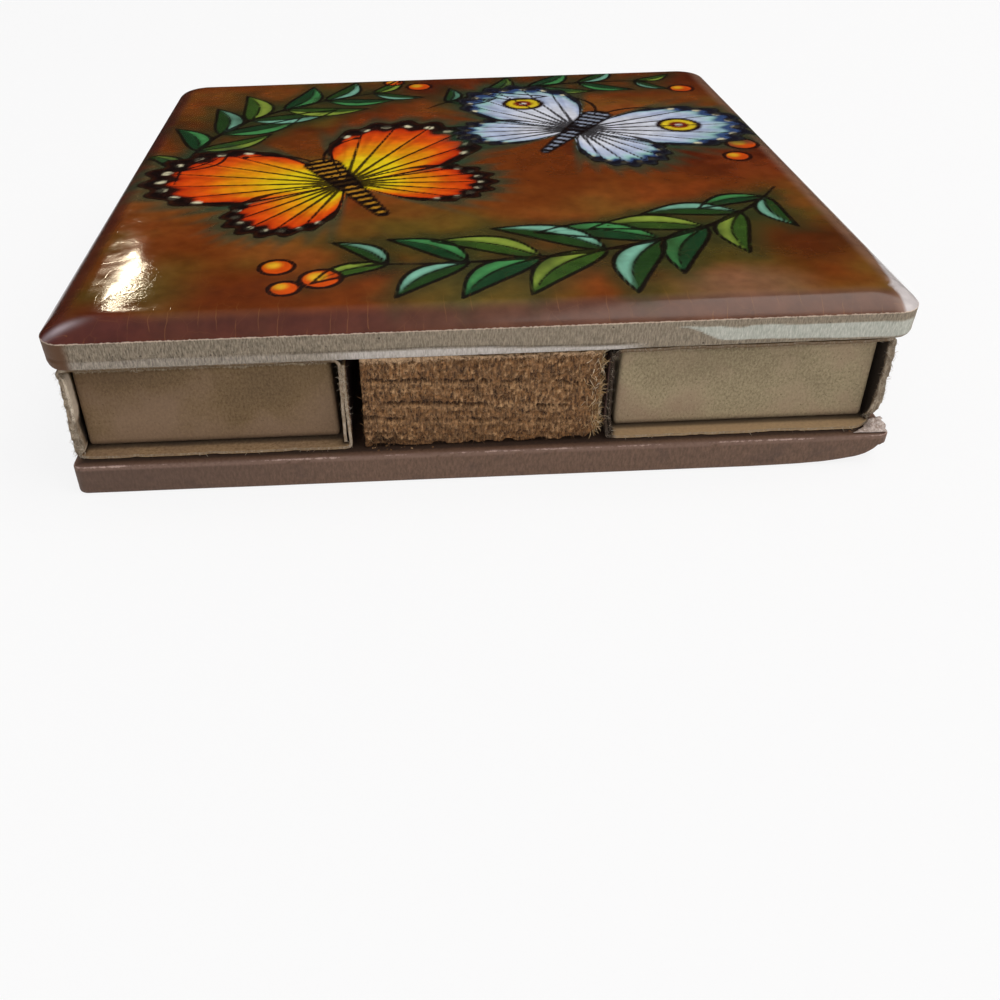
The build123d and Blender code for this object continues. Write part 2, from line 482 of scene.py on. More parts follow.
# %% [markdown]
# The picture under the glaze is a generic one: two butterflies and leafy sprays on a smoky brown ground, in
# the ceramic painter's manner of soft washes inside dark brush lines. Every shape is a formula: below zero
# inside, above zero outside. Dividing it by its own slope gives the distance to its outline in millimetres,
# so a wash can fade and a brush line can have an even width. Washes go into one colour attribute and the
# lines into another, which the glaze's material later turns into crisp ink.

# %% Tools for the painted picture
far_off = 99.0
stroke_steps = 40


def distance(shape):
    """Distance in millimetres to the outline of a shape that is below zero inside."""
    slope_y, slope_x = np.gradient(shape, lines, lines)
    return shape / (np.hypot(slope_x, slope_y) + 1e-3)


def about(x, y, degrees):
    """Places seen from a point, turned: sideways, forwards, distance, and angle from forwards."""
    turn = math.radians(degrees)
    dx, dy = tile_x - x, tile_y - y
    side = dx * math.cos(turn) + dy * math.sin(turn)
    forward = -dx * math.sin(turn) + dy * math.cos(turn)
    return side, forward, np.hypot(side, forward), np.degrees(np.arctan2(side, forward))


def stroke(points, width):
    """A brush line bent between three points, thick in the middle and thin at its ends, as a shape."""
    first, middle, last = np.array(points, float)
    t = np.linspace(0, 1, stroke_steps)[:, None]
    points = (1 - t) ** 2 * first + 2 * t * (1 - t) * middle + t ** 2 * last
    shape = np.full(tile_x.shape, far_off)
    for k in range(len(points) - 1):
        (x0, y0), (x1, y1) = points[k], points[k + 1]
        length = max((x1 - x0) ** 2 + (y1 - y0) ** 2, 1e-9)
        near = np.clip(((tile_x - x0) * (x1 - x0) + (tile_y - y0) * (y1 - y0)) / length, 0, 1)
        share = (k + near) / (len(points) - 1)
        half_width = width * (0.25 + 0.75 * np.sin(math.pi * np.clip(share, 0, 1)))
        gap = np.hypot(tile_x - x0 - near * (x1 - x0), tile_y - y0 - near * (y1 - y0))
        shape = np.minimum(shape, gap - half_width)
    return shape


def wash(picture, tint, cover):
    """Lays a tint over the picture, as thickly as cover says from 0 to 1."""
    return blended(picture, np.array(colour(tint)[:3]), cover)

# %% [markdown]
# The ground is painted first, from the middle outwards: a warm brown, darker and lighter clouds over it, a
# few soft pools of colour, and then the margins. On the old tile the glaze is darker towards the front and
# left edges. The rolled margins also carry painted reflections: a pale band along the right edge, a mauve
# band on the right half of the front edge and a pale lens on the front left corner. A thin pale line runs
# along the right half of the back edge. Those bands follow the edges with their own small waves.

# %% Smoky ground
smoke = clouds(tile_x, tile_y, 26, 11)
fine_smoke = clouds(tile_x + 40, tile_y, 9, 12)
picture = wash(np.zeros(tile_x.shape + (3,)), "#7a3a10", np.ones(tile_x.shape))
picture = wash(picture, "#5c2109", ease(smoke, 0.5, 0.75) * 0.9)
picture = wash(picture, "#985a24", ease(0.47 - smoke, 0.0, 0.3) * 0.8)
picture = wash(picture, "#5f5a20", ease(clouds(tile_x, tile_y, 30, 14), 0.5, 0.75) * 0.7)
picture = wash(picture, "#9a461a", ease(fine_smoke, 0.5, 0.75) * 0.4)
for x, y, radius, tint, cover in ((46, -36, 15, "#5a2208", 0.85), (33, -49, 12, "#96684c", 0.75),
                                  (0, -48, 16, "#7a6428", 0.85), (-30, -46, 14, "#6c2e0a", 0.8)):
    reach = radius - np.hypot(tile_x - x, 1.4 * (tile_y - y)) + 2 * (fine_smoke - 0.5)
    picture = wash(picture, tint, cover * ease(reach, 0, 0.8 * radius))
picture = wash(picture, "#51231a", ease(-tile_y, 50.4, 52.4) * 0.85)
# Painted reflection: a mauve band on the right half of the front margin.
picture = wash(picture, "#6c4733", ease(-tile_y, 50.0, 52.6) * ease(tile_x, -32, 24) * 0.75)
picture = wash(picture, "#55231c", ease(-tile_x, 49.8, 51.5) * 0.75)
# Painted reflection: a pale band along the right margin, widest towards the front right corner.
picture = wash(picture, "#94705a", ease(tile_x, 49.6, 51.4) * 0.75)
pale_from = np.interp(-tile_y, [35, 36, 38, 45, 48, 50.5, 51.5, 54],
                      [56, 54, 52.5, 51.3, 50.9, 50.3, 50.8, 51])
picture = wash(picture, "#dad4d2", ease(tile_x - pale_from, 0, 0.5) * 0.9)
picture = wash(picture, "#c4bab6", ease(tile_y, 52.7, 53.3) * ease(tile_x, -8, 12) * 0.7)
# Painted reflection: a pale lens of sheen on the front left corner.
from_x, from_y = tile_x + 51.0, tile_y + 52.2
sheen = ((0.94 * from_x + 0.33 * from_y) / 2.6) ** 2 + ((0.94 * from_y - 0.33 * from_x) / 0.6) ** 2
picture = wash(picture, "#b3a5a8", np.exp(-sheen) * 0.85)
ink = np.full(tile_x.shape, far_off)
wobble = 2.2 * (clouds(tile_x, tile_y, 7, 21) - 0.5)

# %% [markdown]
# Leaves and berries come first, because the butterflies sit over them. A spray is a curved stem with
# slender leaves on both sides. Each leaf is the overlap of two discs, which gives the pointed shape, with a
# lighter wash along one side and a dark outline, and a greenish haze is breathed around the whole spray.

# %% Leafy sprays
def leaf(picture, ink, x, y, degrees, length, width, tint, glow_tint):
    """One leaf from a foot, pointing forwards, painted and outlined."""
    side, forward, _, _ = about(x, y, degrees)
    share = np.clip(forward / length, 0, 1)
    curve = 0.12 * length * np.sin(math.pi * share)
    belly = width * np.sin(math.pi * share ** 0.8) ** 0.9
    edge = np.maximum(abs(side - curve) - belly, np.maximum(-forward, forward - length))
    picture = wash(picture, "#2c3a1e", 0.55 * ease(-edge, -4.0 - wobble, -0.2))
    picture = wash(picture, tint, ease(-edge, -0.15, 0.25))
    picture = wash(picture, glow_tint, ease(-edge, 0.1, 0.8) * ease(side - curve, -0.2, 0.9) * 0.75)
    ink = np.minimum(ink, abs(edge + 0.1) - 0.22)
    rib = np.where((share > 0.04) & (share < 0.85), abs(side - curve) - 0.16 * (1 - share), far_off)
    ink = np.minimum(ink, rib)
    return picture, ink


def spray(picture, ink, start, middle, end, leaves, length, tints):
    """A stem with leaves on both sides, from start over middle to end."""
    start, middle, end = (np.array(p, float) for p in (start, middle, end))
    for k in range(leaves):
        t = (k + 0.6) / leaves
        foot = (1 - t) ** 2 * start + 2 * t * (1 - t) * middle + t ** 2 * end
        run = 2 * (1 - t) * (middle - start) + 2 * t * (end - middle)
        heading = math.degrees(math.atan2(-run[0], run[1]))
        size = length * (0.65 + 0.5 * math.sin(math.pi * t))
        for side in (-1, 1):
            tint, glow_tint = tints[(k + (side > 0)) % len(tints)]
            lean_out = heading + side * (38 + 7 * math.sin(2.3 * k + side))
            picture, ink = leaf(picture, ink, foot[0], foot[1], lean_out, size, size * 0.17, tint, glow_tint)
    ink = np.minimum(ink, stroke([start, middle, end], 0.38))
    return picture, ink


greens = [("#1f4526", "#55a860"), ("#28471e", "#98dcc0"), ("#3b5a20", "#a9bf4c")]
picture, ink = spray(picture, ink, (47, -16), (30, -43), (-16, -38.5), 8, 15.0, greens)
picture, ink = spray(picture, ink, (-45, -6), (-47, 33), (-10, 43), 7, 14.5, greens[1:] + greens[:1])
picture, ink = spray(picture, ink, (-4, 30), (12, 48), (43, 44), 5, 11.5, greens)

berries = [(-20, -42.5, 2.7), (-26, -38.5, 2.3), (-24.5, -45, 2.0), (-5, 45.5, 2.4), (-10, 49, 2.0),
           (46, 38, 2.3), (48, 4, 2.6), (45.5, -2, 2.1)]
for x, y, radius in berries:
    side, forward, reach, _ = about(x, y, 0)
    picture = wash(picture, "#e2540f", ease(radius - reach, -0.15, 0.3))
    shine = radius * 0.6 - np.hypot(side + 0.5, forward - 0.6)
    picture = wash(picture, "#f6c22a", ease(shine, -0.2, 1.0) * 0.9)
    ink = np.minimum(ink, abs(reach - radius) - 0.24)

# %% [markdown]
# A butterfly is four wings round a body. Each wing is a lobe in polar form: its reach grows and shrinks
# with the angle from the wing's own axis. Colours run outwards from the root, veins are thin rays, and the
# dark border carries rows of pale dots.

# %% Butterflies
def wings(picture, ink, x, y, degrees, lobes, tints, border, vein_tint, dots):
    """Both pairs of wings; a lobe is (axis angle, half spread, reach, bluntness)."""
    side, forward, reach, bearing = about(x, y, degrees)
    for axis, spread, size, bluntness in lobes:
        off = (abs(bearing) - axis) / spread
        inside = np.clip(1 - off ** 2, 0, 1)
        rim = size * inside ** bluntness * (1 + 0.03 * np.cos(9 * math.pi * off))
        edge = np.where(abs(off) < 1, reach - rim, reach)
        edge = np.maximum(distance(edge), edge * 0.25)
        fullness = reach / np.maximum(rim, 0.5)
        picture = wash(picture, "#2c4a34", 0.75 * ease(-edge, -4.5 - wobble, -0.3))
        cover = ease(-edge, -0.15, 0.25)
        for tint, start, end in tints:
            picture = wash(picture, tint, cover * ease(fullness + 0.05 * wobble, start, end))
        streaks = np.cos(math.radians(1) * abs(bearing) * 33) * ease(fullness, 0.25, 0.7)
        picture = wash(picture, vein_tint, cover * 0.5 * ease(streaks, 0.2, 1.0))
        picture = wash(picture, border, cover * ease(fullness + 0.015 * wobble, 0.83, 0.88))
        ink = np.minimum(ink, abs(edge + 0.05) - 0.4)
        for k in (-2, -1, 0, 1, 2):
            vein = abs(abs(bearing) - axis - k * spread * 0.27) * math.radians(1) * reach
            ink = np.minimum(ink, np.where(edge < 0, vein - 0.22 * (1.3 - fullness), far_off))
        for k in range(dots):
            place = axis + spread * (2 * (k + 0.5) / dots - 1) * 0.78
            out = size * (1 - ((place - axis) / spread) ** 2) ** bluntness * 0.925
            dot_x, dot_y = out * math.sin(math.radians(place)), out * math.cos(math.radians(place))
            spot = np.hypot(abs(side) - dot_x, forward - dot_y) - size * 0.024
            picture = wash(picture, "#f3ecc4", ease(-spot, -0.2, 0.2))
    return picture, ink


def body(picture, ink, x, y, degrees, length, tint):
    """The body with its rings, and two feelers that curl outwards."""
    side, forward, _, _ = about(x, y, degrees)
    share = np.clip((forward + length * 0.6) / length, 0, 1)
    spine = np.clip(forward, -length * 0.6, length * 0.4)
    trunk = np.hypot(side, forward - spine) - length * 0.085 * (0.55 + share)
    picture = wash(picture, "#160a08", ease(-trunk, -0.2, 0.2))
    picture = wash(picture, tint, ease(-trunk, 0.3, 1.0) * ease(np.cos(forward * 3.2), 0.1, 0.7) * 0.8)
    turn = math.radians(degrees)
    for out in (-1, 1):
        feeler = []
        for a, b in ((0.5, length * 0.42), (2.0, length * 0.75), (length * 0.42, length * 0.82)):
            a *= out
            feeler.append((x + a * math.cos(turn) - b * math.sin(turn),
                           y + a * math.sin(turn) + b * math.cos(turn)))
        ink = np.minimum(ink, stroke(feeler, 0.26))
        tip = np.hypot(tile_x - feeler[2][0], tile_y - feeler[2][1])
        ink = np.minimum(ink, tip - 0.55)
    return picture, ink


warm = [("#ffe01c", -1.0, -0.5), ("#ffa512", 0.3, 0.5), ("#f9610f", 0.52, 0.72), ("#e23a0c", 0.72, 0.88)]
cool = [("#f2f6ff", -1.0, -0.5), ("#d5e2fa", 0.4, 0.7), ("#9fdccb", 0.72, 0.9)]
picture, ink = wings(picture, ink, -18, -8, 24, [(118, 38, 23, 0.42), (52, 43, 32.5, 0.4)], warm, "#2a110a",
                     "#c8370a", 9)
picture, ink = body(picture, ink, -18, -8, 24, 24, "#d99a2c")
picture, ink = wings(picture, ink, 22, 15, -32, [(122, 37, 21, 0.45), (58, 41, 30, 0.42)], cool, "#3d5684",
                     "#93a6cf", 8)
for sign in (-1, 1):
    side, forward, _, _ = about(22, 15, -32)
    eye = np.hypot(side - sign * 15.2, forward - 9.8)
    for tint, radius in (("#2a1210", 4.0), ("#f6d62c", 3.0), ("#8a2a12", 1.8), ("#f6efe0", 0.6)):
        picture = wash(picture, tint, ease(radius - eye, -0.2, 0.25))
picture, ink = body(picture, ink, 22, 15, -32, 22, "#b7c3d8")
print("picture", picture.shape, "inked share", round(float((ink < 0).mean()), 3))

# %% [markdown]
# Now the whole tile as one closed skin: the face, the sides that lean in towards the underside, and the
# underside. The sides are raw biscuit that was rubbed down: pitted, with a soft ridge low on the front
# where the clay was squeezed, a smear of pale slip towards the right, and a run of glaze round the left
# corner. What is where is kept in attributes, so that one material can show them all.

# %% Tile skin
rim_index = border_of(np.arange(side_points ** 2).reshape(side_points, side_points))
face_points = np.stack([tile_x, tile_y, tile_z], -1).reshape(-1, 3)
rim = face_points[rim_index]
rim_x, rim_y = rim[:, 0], rim[:, 1]
before, after = np.roll(rim[:, :2], 1, 0), np.roll(rim[:, :2], -1, 0)
tangent = after - before
outward = np.stack([tangent[:, 1], -tangent[:, 0]], 1)
outward /= np.linalg.norm(outward, axis=1)[:, None]
run_length = np.cumsum(np.linalg.norm(rim[:, :2] - before, axis=1))

side_rows = 22
drop_shares = np.linspace(0, 1, side_rows + 1)[1:]
side_layers, side_facts, side_lines = [], [], []
for share in drop_shares:
    drop = edge_height * share
    height = edge_height - drop
    at_height = np.full(len(rim), height)
    front = ease(-rim_y, tile_half - 1.6, tile_half - 0.4)
    lean_in = undercut * share * (1 - 0.8 * ease(-rim_y, 44, 49))
    tuck = lower_round - math.sqrt(max(lower_round ** 2 - max(lower_round - height, 0) ** 2, 0))
    tuck = tuck * (1 - 0.7 * front)
    pits = ease(noise(run_length, at_height, 0.55, 31), 0.86, 0.99) * 0.09
    ripple = 0.05 * (clouds(run_length, 3 * at_height, 1.6, 32) - 0.5)
    lip_top = 1.12 - 0.5 * ease(rim_x, -8, 16) + 0.14 * (noise(rim_x, 0 * rim_x, 5, 33) - 0.5)
    to_point = ease(21 - rim_x, 0, 5) * front
    in_lip = ease(lip_top - height, -0.07, 0.07)
    strong = 0.3 + 0.7 * ease(rim_x, -30, -14)
    # The groove above the lip dents the side, and its mask also carries a painted shade line.
    line_above = np.exp(-((height - lip_top - 0.14) / 0.11) ** 2) * to_point * strong
    ridge = 0.15 * in_lip * to_point - 0.12 * line_above
    patch_top = 2.8 - 0.01 * (rim_x - 25) + 0.25 * (noise(rim_x, 0 * rim_x, 3.5, 35) - 0.5)
    patch_top -= 0.35 * np.exp(-((rim_x - 31) / 1.5) ** 2)
    patch_low = 2.75 - 2.1 * ease(rim_x, 24.2, 30) - 0.35 * ease(rim_x, 33, 50)
    rough_edge = 0.35 * (clouds(rim_x, at_height, 1.3, 36) - 0.5)
    in_patch = np.minimum(patch_top - height, height - patch_low) + 0.5 * rough_edge
    smear = front * ease(in_patch, -0.04, 0.12) * (rim_x > 23.9)
    out = ridge + 0.08 * smear + ripple - pits * (1 - smear) - lean_in - tuck
    moved = rim[:, :2] + outward * out[:, None]
    moved[:, 0] = np.clip(moved[:, 0], -tile_half, tile_half)
    side_layers.append(np.column_stack([moved, tile_bottom + at_height]))
    glaze_run = ease(-rim_x - 0.5 * (clouds(run_length, at_height, 2.0, 38) - 0.5),
                     tile_half - 4.3, tile_half - 3.1) * ease(-rim_y, tile_half - 9, tile_half - 6)
    pale_lip = in_lip * to_point * (0.25 + 0.75 * ease(rim_x, -21, -14)) * (1 - smear)
    side_facts.append(np.column_stack([smear, glaze_run, pale_lip]))
    side_lines.append(line_above)

layers = np.concatenate(side_layers)
first_side = len(face_points)
around = len(rim)
faces = net(side_points, side_points)
glazed_faces = len(faces)
first_row = np.column_stack([rim_index, np.roll(rim_index, -1), first_side + np.roll(np.arange(around), -1),
                             first_side + np.arange(around)])
faces += [list(map(int, face))[::-1] for face in first_row]
faces += [face[::-1] for face in net(side_rows, around, True, first_side)]
faces.append(list(range(first_side + (side_rows - 1) * around, first_side + side_rows * around)))
tile_points = np.concatenate([face_points, layers])

facts = np.concatenate([np.zeros((len(face_points), 3)), np.concatenate(side_facts)])
to_rim = np.concatenate([inset.ravel(), np.zeros(len(layers))])
paint = np.concatenate([picture.reshape(-1, 3), np.full((len(layers), 3), 0.1)])
lines_of_ink = np.concatenate([ink.ravel(), np.full(len(layers), 9.0)])
groove = np.concatenate([np.zeros(len(face_points))] + side_lines)
arris = np.concatenate([np.exp(-inset.ravel() / 0.1),
                        np.repeat(np.exp(-drop_shares * edge_height / 0.1), around)])
print("tile skin", len(tile_points), "points")

# %% [markdown]
# Glazed ceramic: a thin layer of glass over the painted clay. It is smooth and mirror-like, with a faint
# unevenness from the kiln. Old glaze crazes, so hair cracks run square to the edge near the arris and
# wander in the middle, and along the arris the glaze is worn through to pinkish clay.

# %% Glaze
glaze, tree, surface = start_material("glazed_ceramic")
place = part("place")
painted = part("tint", attribute_name="paint")
ink_gap = part("fact", attribute_name="ink")
edge_gap = part("fact", attribute_name="to_rim")
worn = part("fact", attribute_name="arris")

pooling = part("noise", place, per(2.2), 4.0)
pooled = part("ramp", pooling, 0.3, 0.7, 0.82, 1.16)
tinted = part("mix", 1.0, painted, pooled, blend_type="MULTIPLY")
brush = part("noise", place, per(0.9), 2.0)
brushed = part("times_plus", brush, 0.22, ink_gap)
inked = part("ramp", brushed, 0.1, 0.33, 0.93, 0.0)
drawn = part("mix", inked, tinted, "#150a07")

drift = part("noise", place, per(5), 3.0)
crack_gaps = []
for direction in ("east", "north"):
    shifted = part("times_plus", drift, 1.6 * MM, part(direction, place))
    crack_gaps.append(add(tree, "ShaderNodeTexVoronoi", {"W": shifted, "Scale": per(2.6)},
                          voronoi_dimensions="1D", feature="DISTANCE_TO_EDGE").outputs[0])
on_side = part("math", part("east", place), operation="ABSOLUTE")
on_side = part("math", on_side, (tile_half - margin) * MM, operation="GREATER_THAN")
edge_cracks = part("mix_value", on_side, *crack_gaps)
edge_cracks = part("ramp", edge_cracks, 0.008, 0.028, 1.0, 0.0)
near_edge = part("ramp", edge_gap, 3.0, 6.5, 1.0, 0.0)
some = part("ramp", drift, 0.47, 0.56)
edge_cracks = part("times", edge_cracks, near_edge)
edge_cracks = part("times", edge_cracks, some)
bent = part("vector", place, drift)
bent = add(tree, "ShaderNodeMix", {0: 0.004, 4: place, 5: bent}, data_type="VECTOR").outputs[1]
web = part("cells", bent, per(6.5), feature="DISTANCE_TO_EDGE")
web = part("ramp", web, 0.003, 0.01, 0.22, 0.0)
cracks = part("math", edge_cracks, web, operation="MAXIMUM")
cracked = part("times", cracks, 0.17)
crazed = part("mix", cracked, drawn, "#c2803f")
chips = part("noise", place, per(0.4), 3.0)
worn_through = part("times", worn, chips)
worn_through = part("ramp", worn_through, 0.27, 0.45, 0.0, 0.75)
last = part("mix", worn_through, crazed, "#d9c0a8")
surface.inputs["IOR"].default_value = 1.5
gloss = part("ramp", pooling, 0.3, 0.7, 0.03, 0.09)
handled = part("ramp", edge_gap, 1.5, 4.5, 0.15, 0.0)
gloss = part("plus", gloss, handled)
dulled = part("times_plus", worn_through, 0.4, gloss)
peel = part("noise", place, per(4.5), 2.0)
grain = part("noise", place, per(0.5), 3.0)
spot = (-45.8 * MM, -41.6 * MM, tile_top * MM)
gap = part("measure", place, spot, operation="DISTANCE")
offset = part("vector", place, spot, operation="SUBTRACT")
beside = part("measure", offset, (0.967, -0.255, 0), operation="DOT_PRODUCT")
beside = part("ramp", beside, 0.3 * MM, 1.2 * MM)
dusty = part("ramp", gap, 5 * MM, 12 * MM, 0.34, 0.0)
dusty = part("times_plus", dusty, beside, 0.012)
grain = part("times", grain, dusty)
calm = part("ramp", gap, 8 * MM, 16 * MM, 0.1, 1.0)
peel = part("times_plus", peel, calm, grain)
dented = part("times_plus", cracks, -0.12, peel)
dress(surface, last, dulled, dented, 0.25)

# %% [markdown]
# Biscuit: fired clay without glaze, rubbed on a stone until it was square. It is matt and buff, with short
# vertical rubbing marks and dark pits. The same material shows the pale slip, the run of glaze and the
# whitish lower band, each where its attribute says, and a painted shade line in the groove above that band.

# %% Biscuit
biscuit, tree, surface = start_material("rubbed_biscuit")
place = part("place")
facts_of_side = part("tint", attribute_name="facts")
of_side = add(tree, "ShaderNodeSeparateColor", {0: facts_of_side})
worn = part("fact", attribute_name="arris")
stretched = part("stretch", place, (per(0.19), per(0.19), per(0.8)))
rubbing = part("noise", stretched, 1.0, 4.0, 0.7)
grey = part("ramp", rubbing, 0.34, 0.66)
buff = part("mix", grey, "#4e4435", "#9f917c")
along = part("east", place)
paler = part("ramp", along, -30 * MM, -6 * MM, 0.0, 0.22)
buff = part("mix", paler, buff, "#a4957f")
pit = part("cells", place, per(0.85))
pit_size = part("noise", place, per(1.1))
pit_edge = part("ramp", pit_size, 0.5, 0.75, 0.02, 0.3)
pitted = part("math", pit, pit_edge, operation="LESS_THAN")
pitted = part("times", pitted, 0.75)
dotted = part("mix", pitted, buff, "#33271c")
lip = part("mix", grey, "#9f968c", "#cdc6be")
banded = part("mix", of_side.outputs["Blue"], dotted, lip)
slip = part("mix", grey, "#9c9e91", "#c9c9bd")
slipped = part("mix", of_side.outputs["Red"], banded, slip)
glassy = part("mix", of_side.outputs["Green"], slipped, "#533008")
bright = part("times", worn, rubbing)
bright = part("ramp", bright, 0.22, 0.5, 0.0, 0.8)
# Painted shade: a dark line in the groove above the lip.
shade_in_groove = part("fact", attribute_name="groove")
shade_in_groove = part("times", shade_in_groove, 0.45)
lined = part("mix", shade_in_groove, glassy, "#2b2016")
rubbed = part("mix", bright, lined, "#d2bda8")
matt = part("ramp", of_side.outputs["Green"], 0, 1, 0.75, 0.6)
hollow = part("times_plus", pitted, -1.2, rubbing)
dress(surface, rubbed, matt, hollow, 0.35)

# %% [markdown]
# Points, faces and finishes come together here. The glaze covers the face, the biscuit all the rest, and
# the piece takes the place of the plain tile in the frame.

# %% Put the tile on the holder
material_of_faces = np.ones(len(faces), np.int32)
material_of_faces[:glazed_faces] = 0
tile = make_piece("glazed_tile", tile_points * MM, faces, [glaze, biscuit], material_of_faces, paint=paint,
                  ink=lines_of_ink, to_rim=to_rim, arris=arris, facts=facts, groove=groove)
settle(tile, "holder", "glazed_tile", "top_tile")

# %% [markdown]
# The base plate is a board with sawn, sanded and painted edges. Two rounded rectangles would do for its
# shape, but a worn plate shows along its upper arris: small nicks, rubbed paint and softened corners. So
# its skin is a stack of rings round the edge, fine enough for the nicks, and each point knows how near the
# arris it is.

# %% Base plate skin
plate_low, plate_high = box_of("base_plate")
plate_half_x, plate_half_y = plate_high[0], plate_high[1]
plate_thick = plate_high[2] - plate_low[2]
plate_corner, plate_round = 1.3, 0.4
plate_straight, plate_bend = 210, 10
plate_spacing = 0.52
chip_at = [35, 39, 42, 44.5, 46.5, 48, 49.2, 50.1, 50.8, 51.2, 51.4, 51.8, 52.9]
chip_depth = [0, 0.06, 0.15, 0.3, 0.52, 0.78, 1.08, 1.42, 1.8, 2.15, 2.6, 2.75, 3.1]


def plate_ring(inset_by, height):
    """One ring of the plate, with the nicks and the waviness of its edge."""
    radius = max(plate_corner - inset_by, 0.3)
    flat = ring(plate_half_x - inset_by, plate_half_y - inset_by, radius, plate_straight, plate_bend)
    run = np.arange(len(flat)) * plate_spacing
    upper = ease(height, plate_thick - 1.2, plate_thick - 0.2)
    nick = ease(clouds(run, 5 * height + 0 * run, 1.5, 51), 0.66, 0.8) * 0.16 * upper
    sway = 0.05 * clouds(run, 2 * height + 0 * run, 6, 52)
    inwards = -flat / np.linalg.norm(flat, axis=1)[:, None]
    moved = flat + inwards * (nick + sway)[:, None] * (inset_by < 3)
    heights = height - 0.5 * nick * (height > plate_thick / 2)
    chip = np.interp(flat[:, 0], chip_at, chip_depth)
    uneven = 0.93 + 0.14 * clouds(run, 0 * run, 1.0, 53)
    chip = chip * ease(-flat[:, 1], 50.5, 54.0) * (inset_by < 3) * uneven
    heights = heights + chip * (1 - heights / plate_thick)
    return np.column_stack([moved, plate_low[2] + np.clip(heights, 0, plate_thick)])


plate_levels = [(6.0, 0.0), (plate_round, 0.0)]
for step in range(1, 4):
    angle = math.pi / 2 * step / 3
    plate_levels.append((plate_round * (1 - math.sin(angle)), plate_round * (1 - math.cos(angle))))
plate_levels += [(0.0, plate_round + (plate_thick - 2 * plate_round) * k / 10) for k in range(1, 10)]
for step in range(0, 5):
    angle = math.pi / 2 * step / 4
    plate_levels.append((plate_round * (1 - math.cos(angle)),
                         plate_thick - plate_round * (1 - math.sin(angle))))
plate_levels += [(inset_by, plate_thick) for inset_by in (0.6, 0.9, 1.2, 1.5, 1.8, 2.4, 6.0)]
plate_rings = [plate_ring(*level_of) for level_of in plate_levels]
plate_around = len(plate_rings[0])
plate_points = np.concatenate(plate_rings)
plate_faces = net(len(plate_rings), plate_around, True)
plate_faces.append(list(range(plate_around))[::-1])
plate_faces.append(list(range((len(plate_rings) - 1) * plate_around, len(plate_points))))
rubbed_share = []
for inset_by, height in plate_levels:
    from_arris = math.hypot(min(inset_by, 3) - 0.1, height - plate_thick + 0.1)
    rubbed_share.append(np.full(plate_around, math.exp(-from_arris / 0.28)))
plate_x, plate_y = plate_points[:, 0], plate_points[:, 1]
corner_gap = np.hypot(abs(plate_x) - plate_half_x, abs(plate_y) - plate_half_y)
rubbed_share = np.maximum(np.concatenate(rubbed_share), 0.75 * np.exp(-corner_gap / 0.55))
on_top = plate_points[:, 2] > plate_thick - 0.45
from_edge = np.minimum(plate_half_x - abs(plate_x), plate_half_y - abs(plate_y))
# The ledge band is lighter towards the arris: partly rubbed paint, partly a painted highlight.
ledge = np.where(on_top, np.exp(-(np.clip(from_edge, 0, 9) / 0.65) ** 2), 0.0)
# Painted contact shadow: the top darkens from just inside the ledge, where the boxes and the strip stand.
grime = np.where(on_top, ease(from_edge, 0.7, 1.35), 0.0)
near_wood = np.exp(-((plate_x + 12.5) / 3.2) ** 2) + 1.6 * np.exp(-((plate_x - 48.6) / 1.0) ** 2)
dust = np.where(on_top & (plate_y < 0), near_wood * ease(from_edge, 0.5, 1.0) * ease(3 - from_edge, 0, 1), 0)
print("plate skin", len(plate_points), "points")

# %% [markdown]
# Painted board: a thin brown paint with a little red in it, brushed over fibreboard. The cut edges drank
# the paint unevenly, which leaves fine upright streaks and darker blots. Along the arris the paint is
# rubbed off in specks, down to a pinkish undercoat. The ledge before the boxes is lighter towards the arris,
# partly rubbed and partly a painted highlight, and darker where the boxes stand, a painted contact shadow.

# %% Painted board
board, tree, surface = start_material("painted_board")
ledge_wear_and_highlight = part("fact", attribute_name="ledge")
grime_share = part("fact", attribute_name="grime")
place = part("place")
arris_share = part("fact", attribute_name="rubbed")
upright = part("stretch", place, (per(0.35), per(0.35), per(0.9)))
streaks = part("noise", upright, 1.0, 5.0, 0.65)
streaked = part("ramp", streaks, 0.3, 0.7)
paint_colour = part("mix", streaked, "#523b2a", "#735643")
blots = part("noise", place, per(5), 5.0, 0.7)
blotted = part("ramp", blots, 0.55, 0.72, 0.0, 0.55)
dirty = part("mix", blotted, paint_colour, "#3f2d25")
to_left = part("east", place)
to_left = part("ramp", to_left, -15 * MM, -45 * MM, 0.0, 0.5)
dirty = part("mix", to_left, dirty, "#442c1f")
speck = part("noise", place, per(0.5), 3.0, 0.6)
stretch = part("noise", place, per(7), 1.0)
rub = part("times", speck, stretch)
rub = part("times", rub, arris_share)
rub = part("ramp", rub, 0.19, 0.3, 0.0, 0.85)
fine = part("noise", place, per(0.35), 4.0)
# Scuffs and a painted highlight along the ledge.
scuffs_and_highlight = part("ramp", fine, 0.35, 0.65, 0.45, 0.95)
scuffs_and_highlight = part("times", scuffs_and_highlight, ledge_wear_and_highlight)
worn_and_lit_ledge = part("mix", scuffs_and_highlight, dirty, "#7a5e50")
# Painted contact shadow under the boxes and the strip.
contact_shade_weight = part("times", grime_share, 0.75)
grimed = part("mix", contact_shade_weight, worn_and_lit_ledge, "#21150f")
rubbed = part("mix", rub, grimed, "#b89c90")
dress(surface, rubbed, 0.62, streaks, 0.22)

plate = make_piece("painted_plate", plate_points * MM, plate_faces, [board], rubbed=rubbed_share, ledge=ledge,
                   grime=grime, dust=dust)
face_outwards(plate)
settle(plate, "holder", "painted_board", "base_plate")

# %% [markdown]
# The strip of wood in the middle was cut with a coarse saw and never sanded, so its end grain is torn: rows
# of dark cracks lie between the year rings, tufts of fibre stand up between them, and the lower right arris
# broke away. Its skin is one closed net: a fine one over each end, joined by rows that run along the grain.

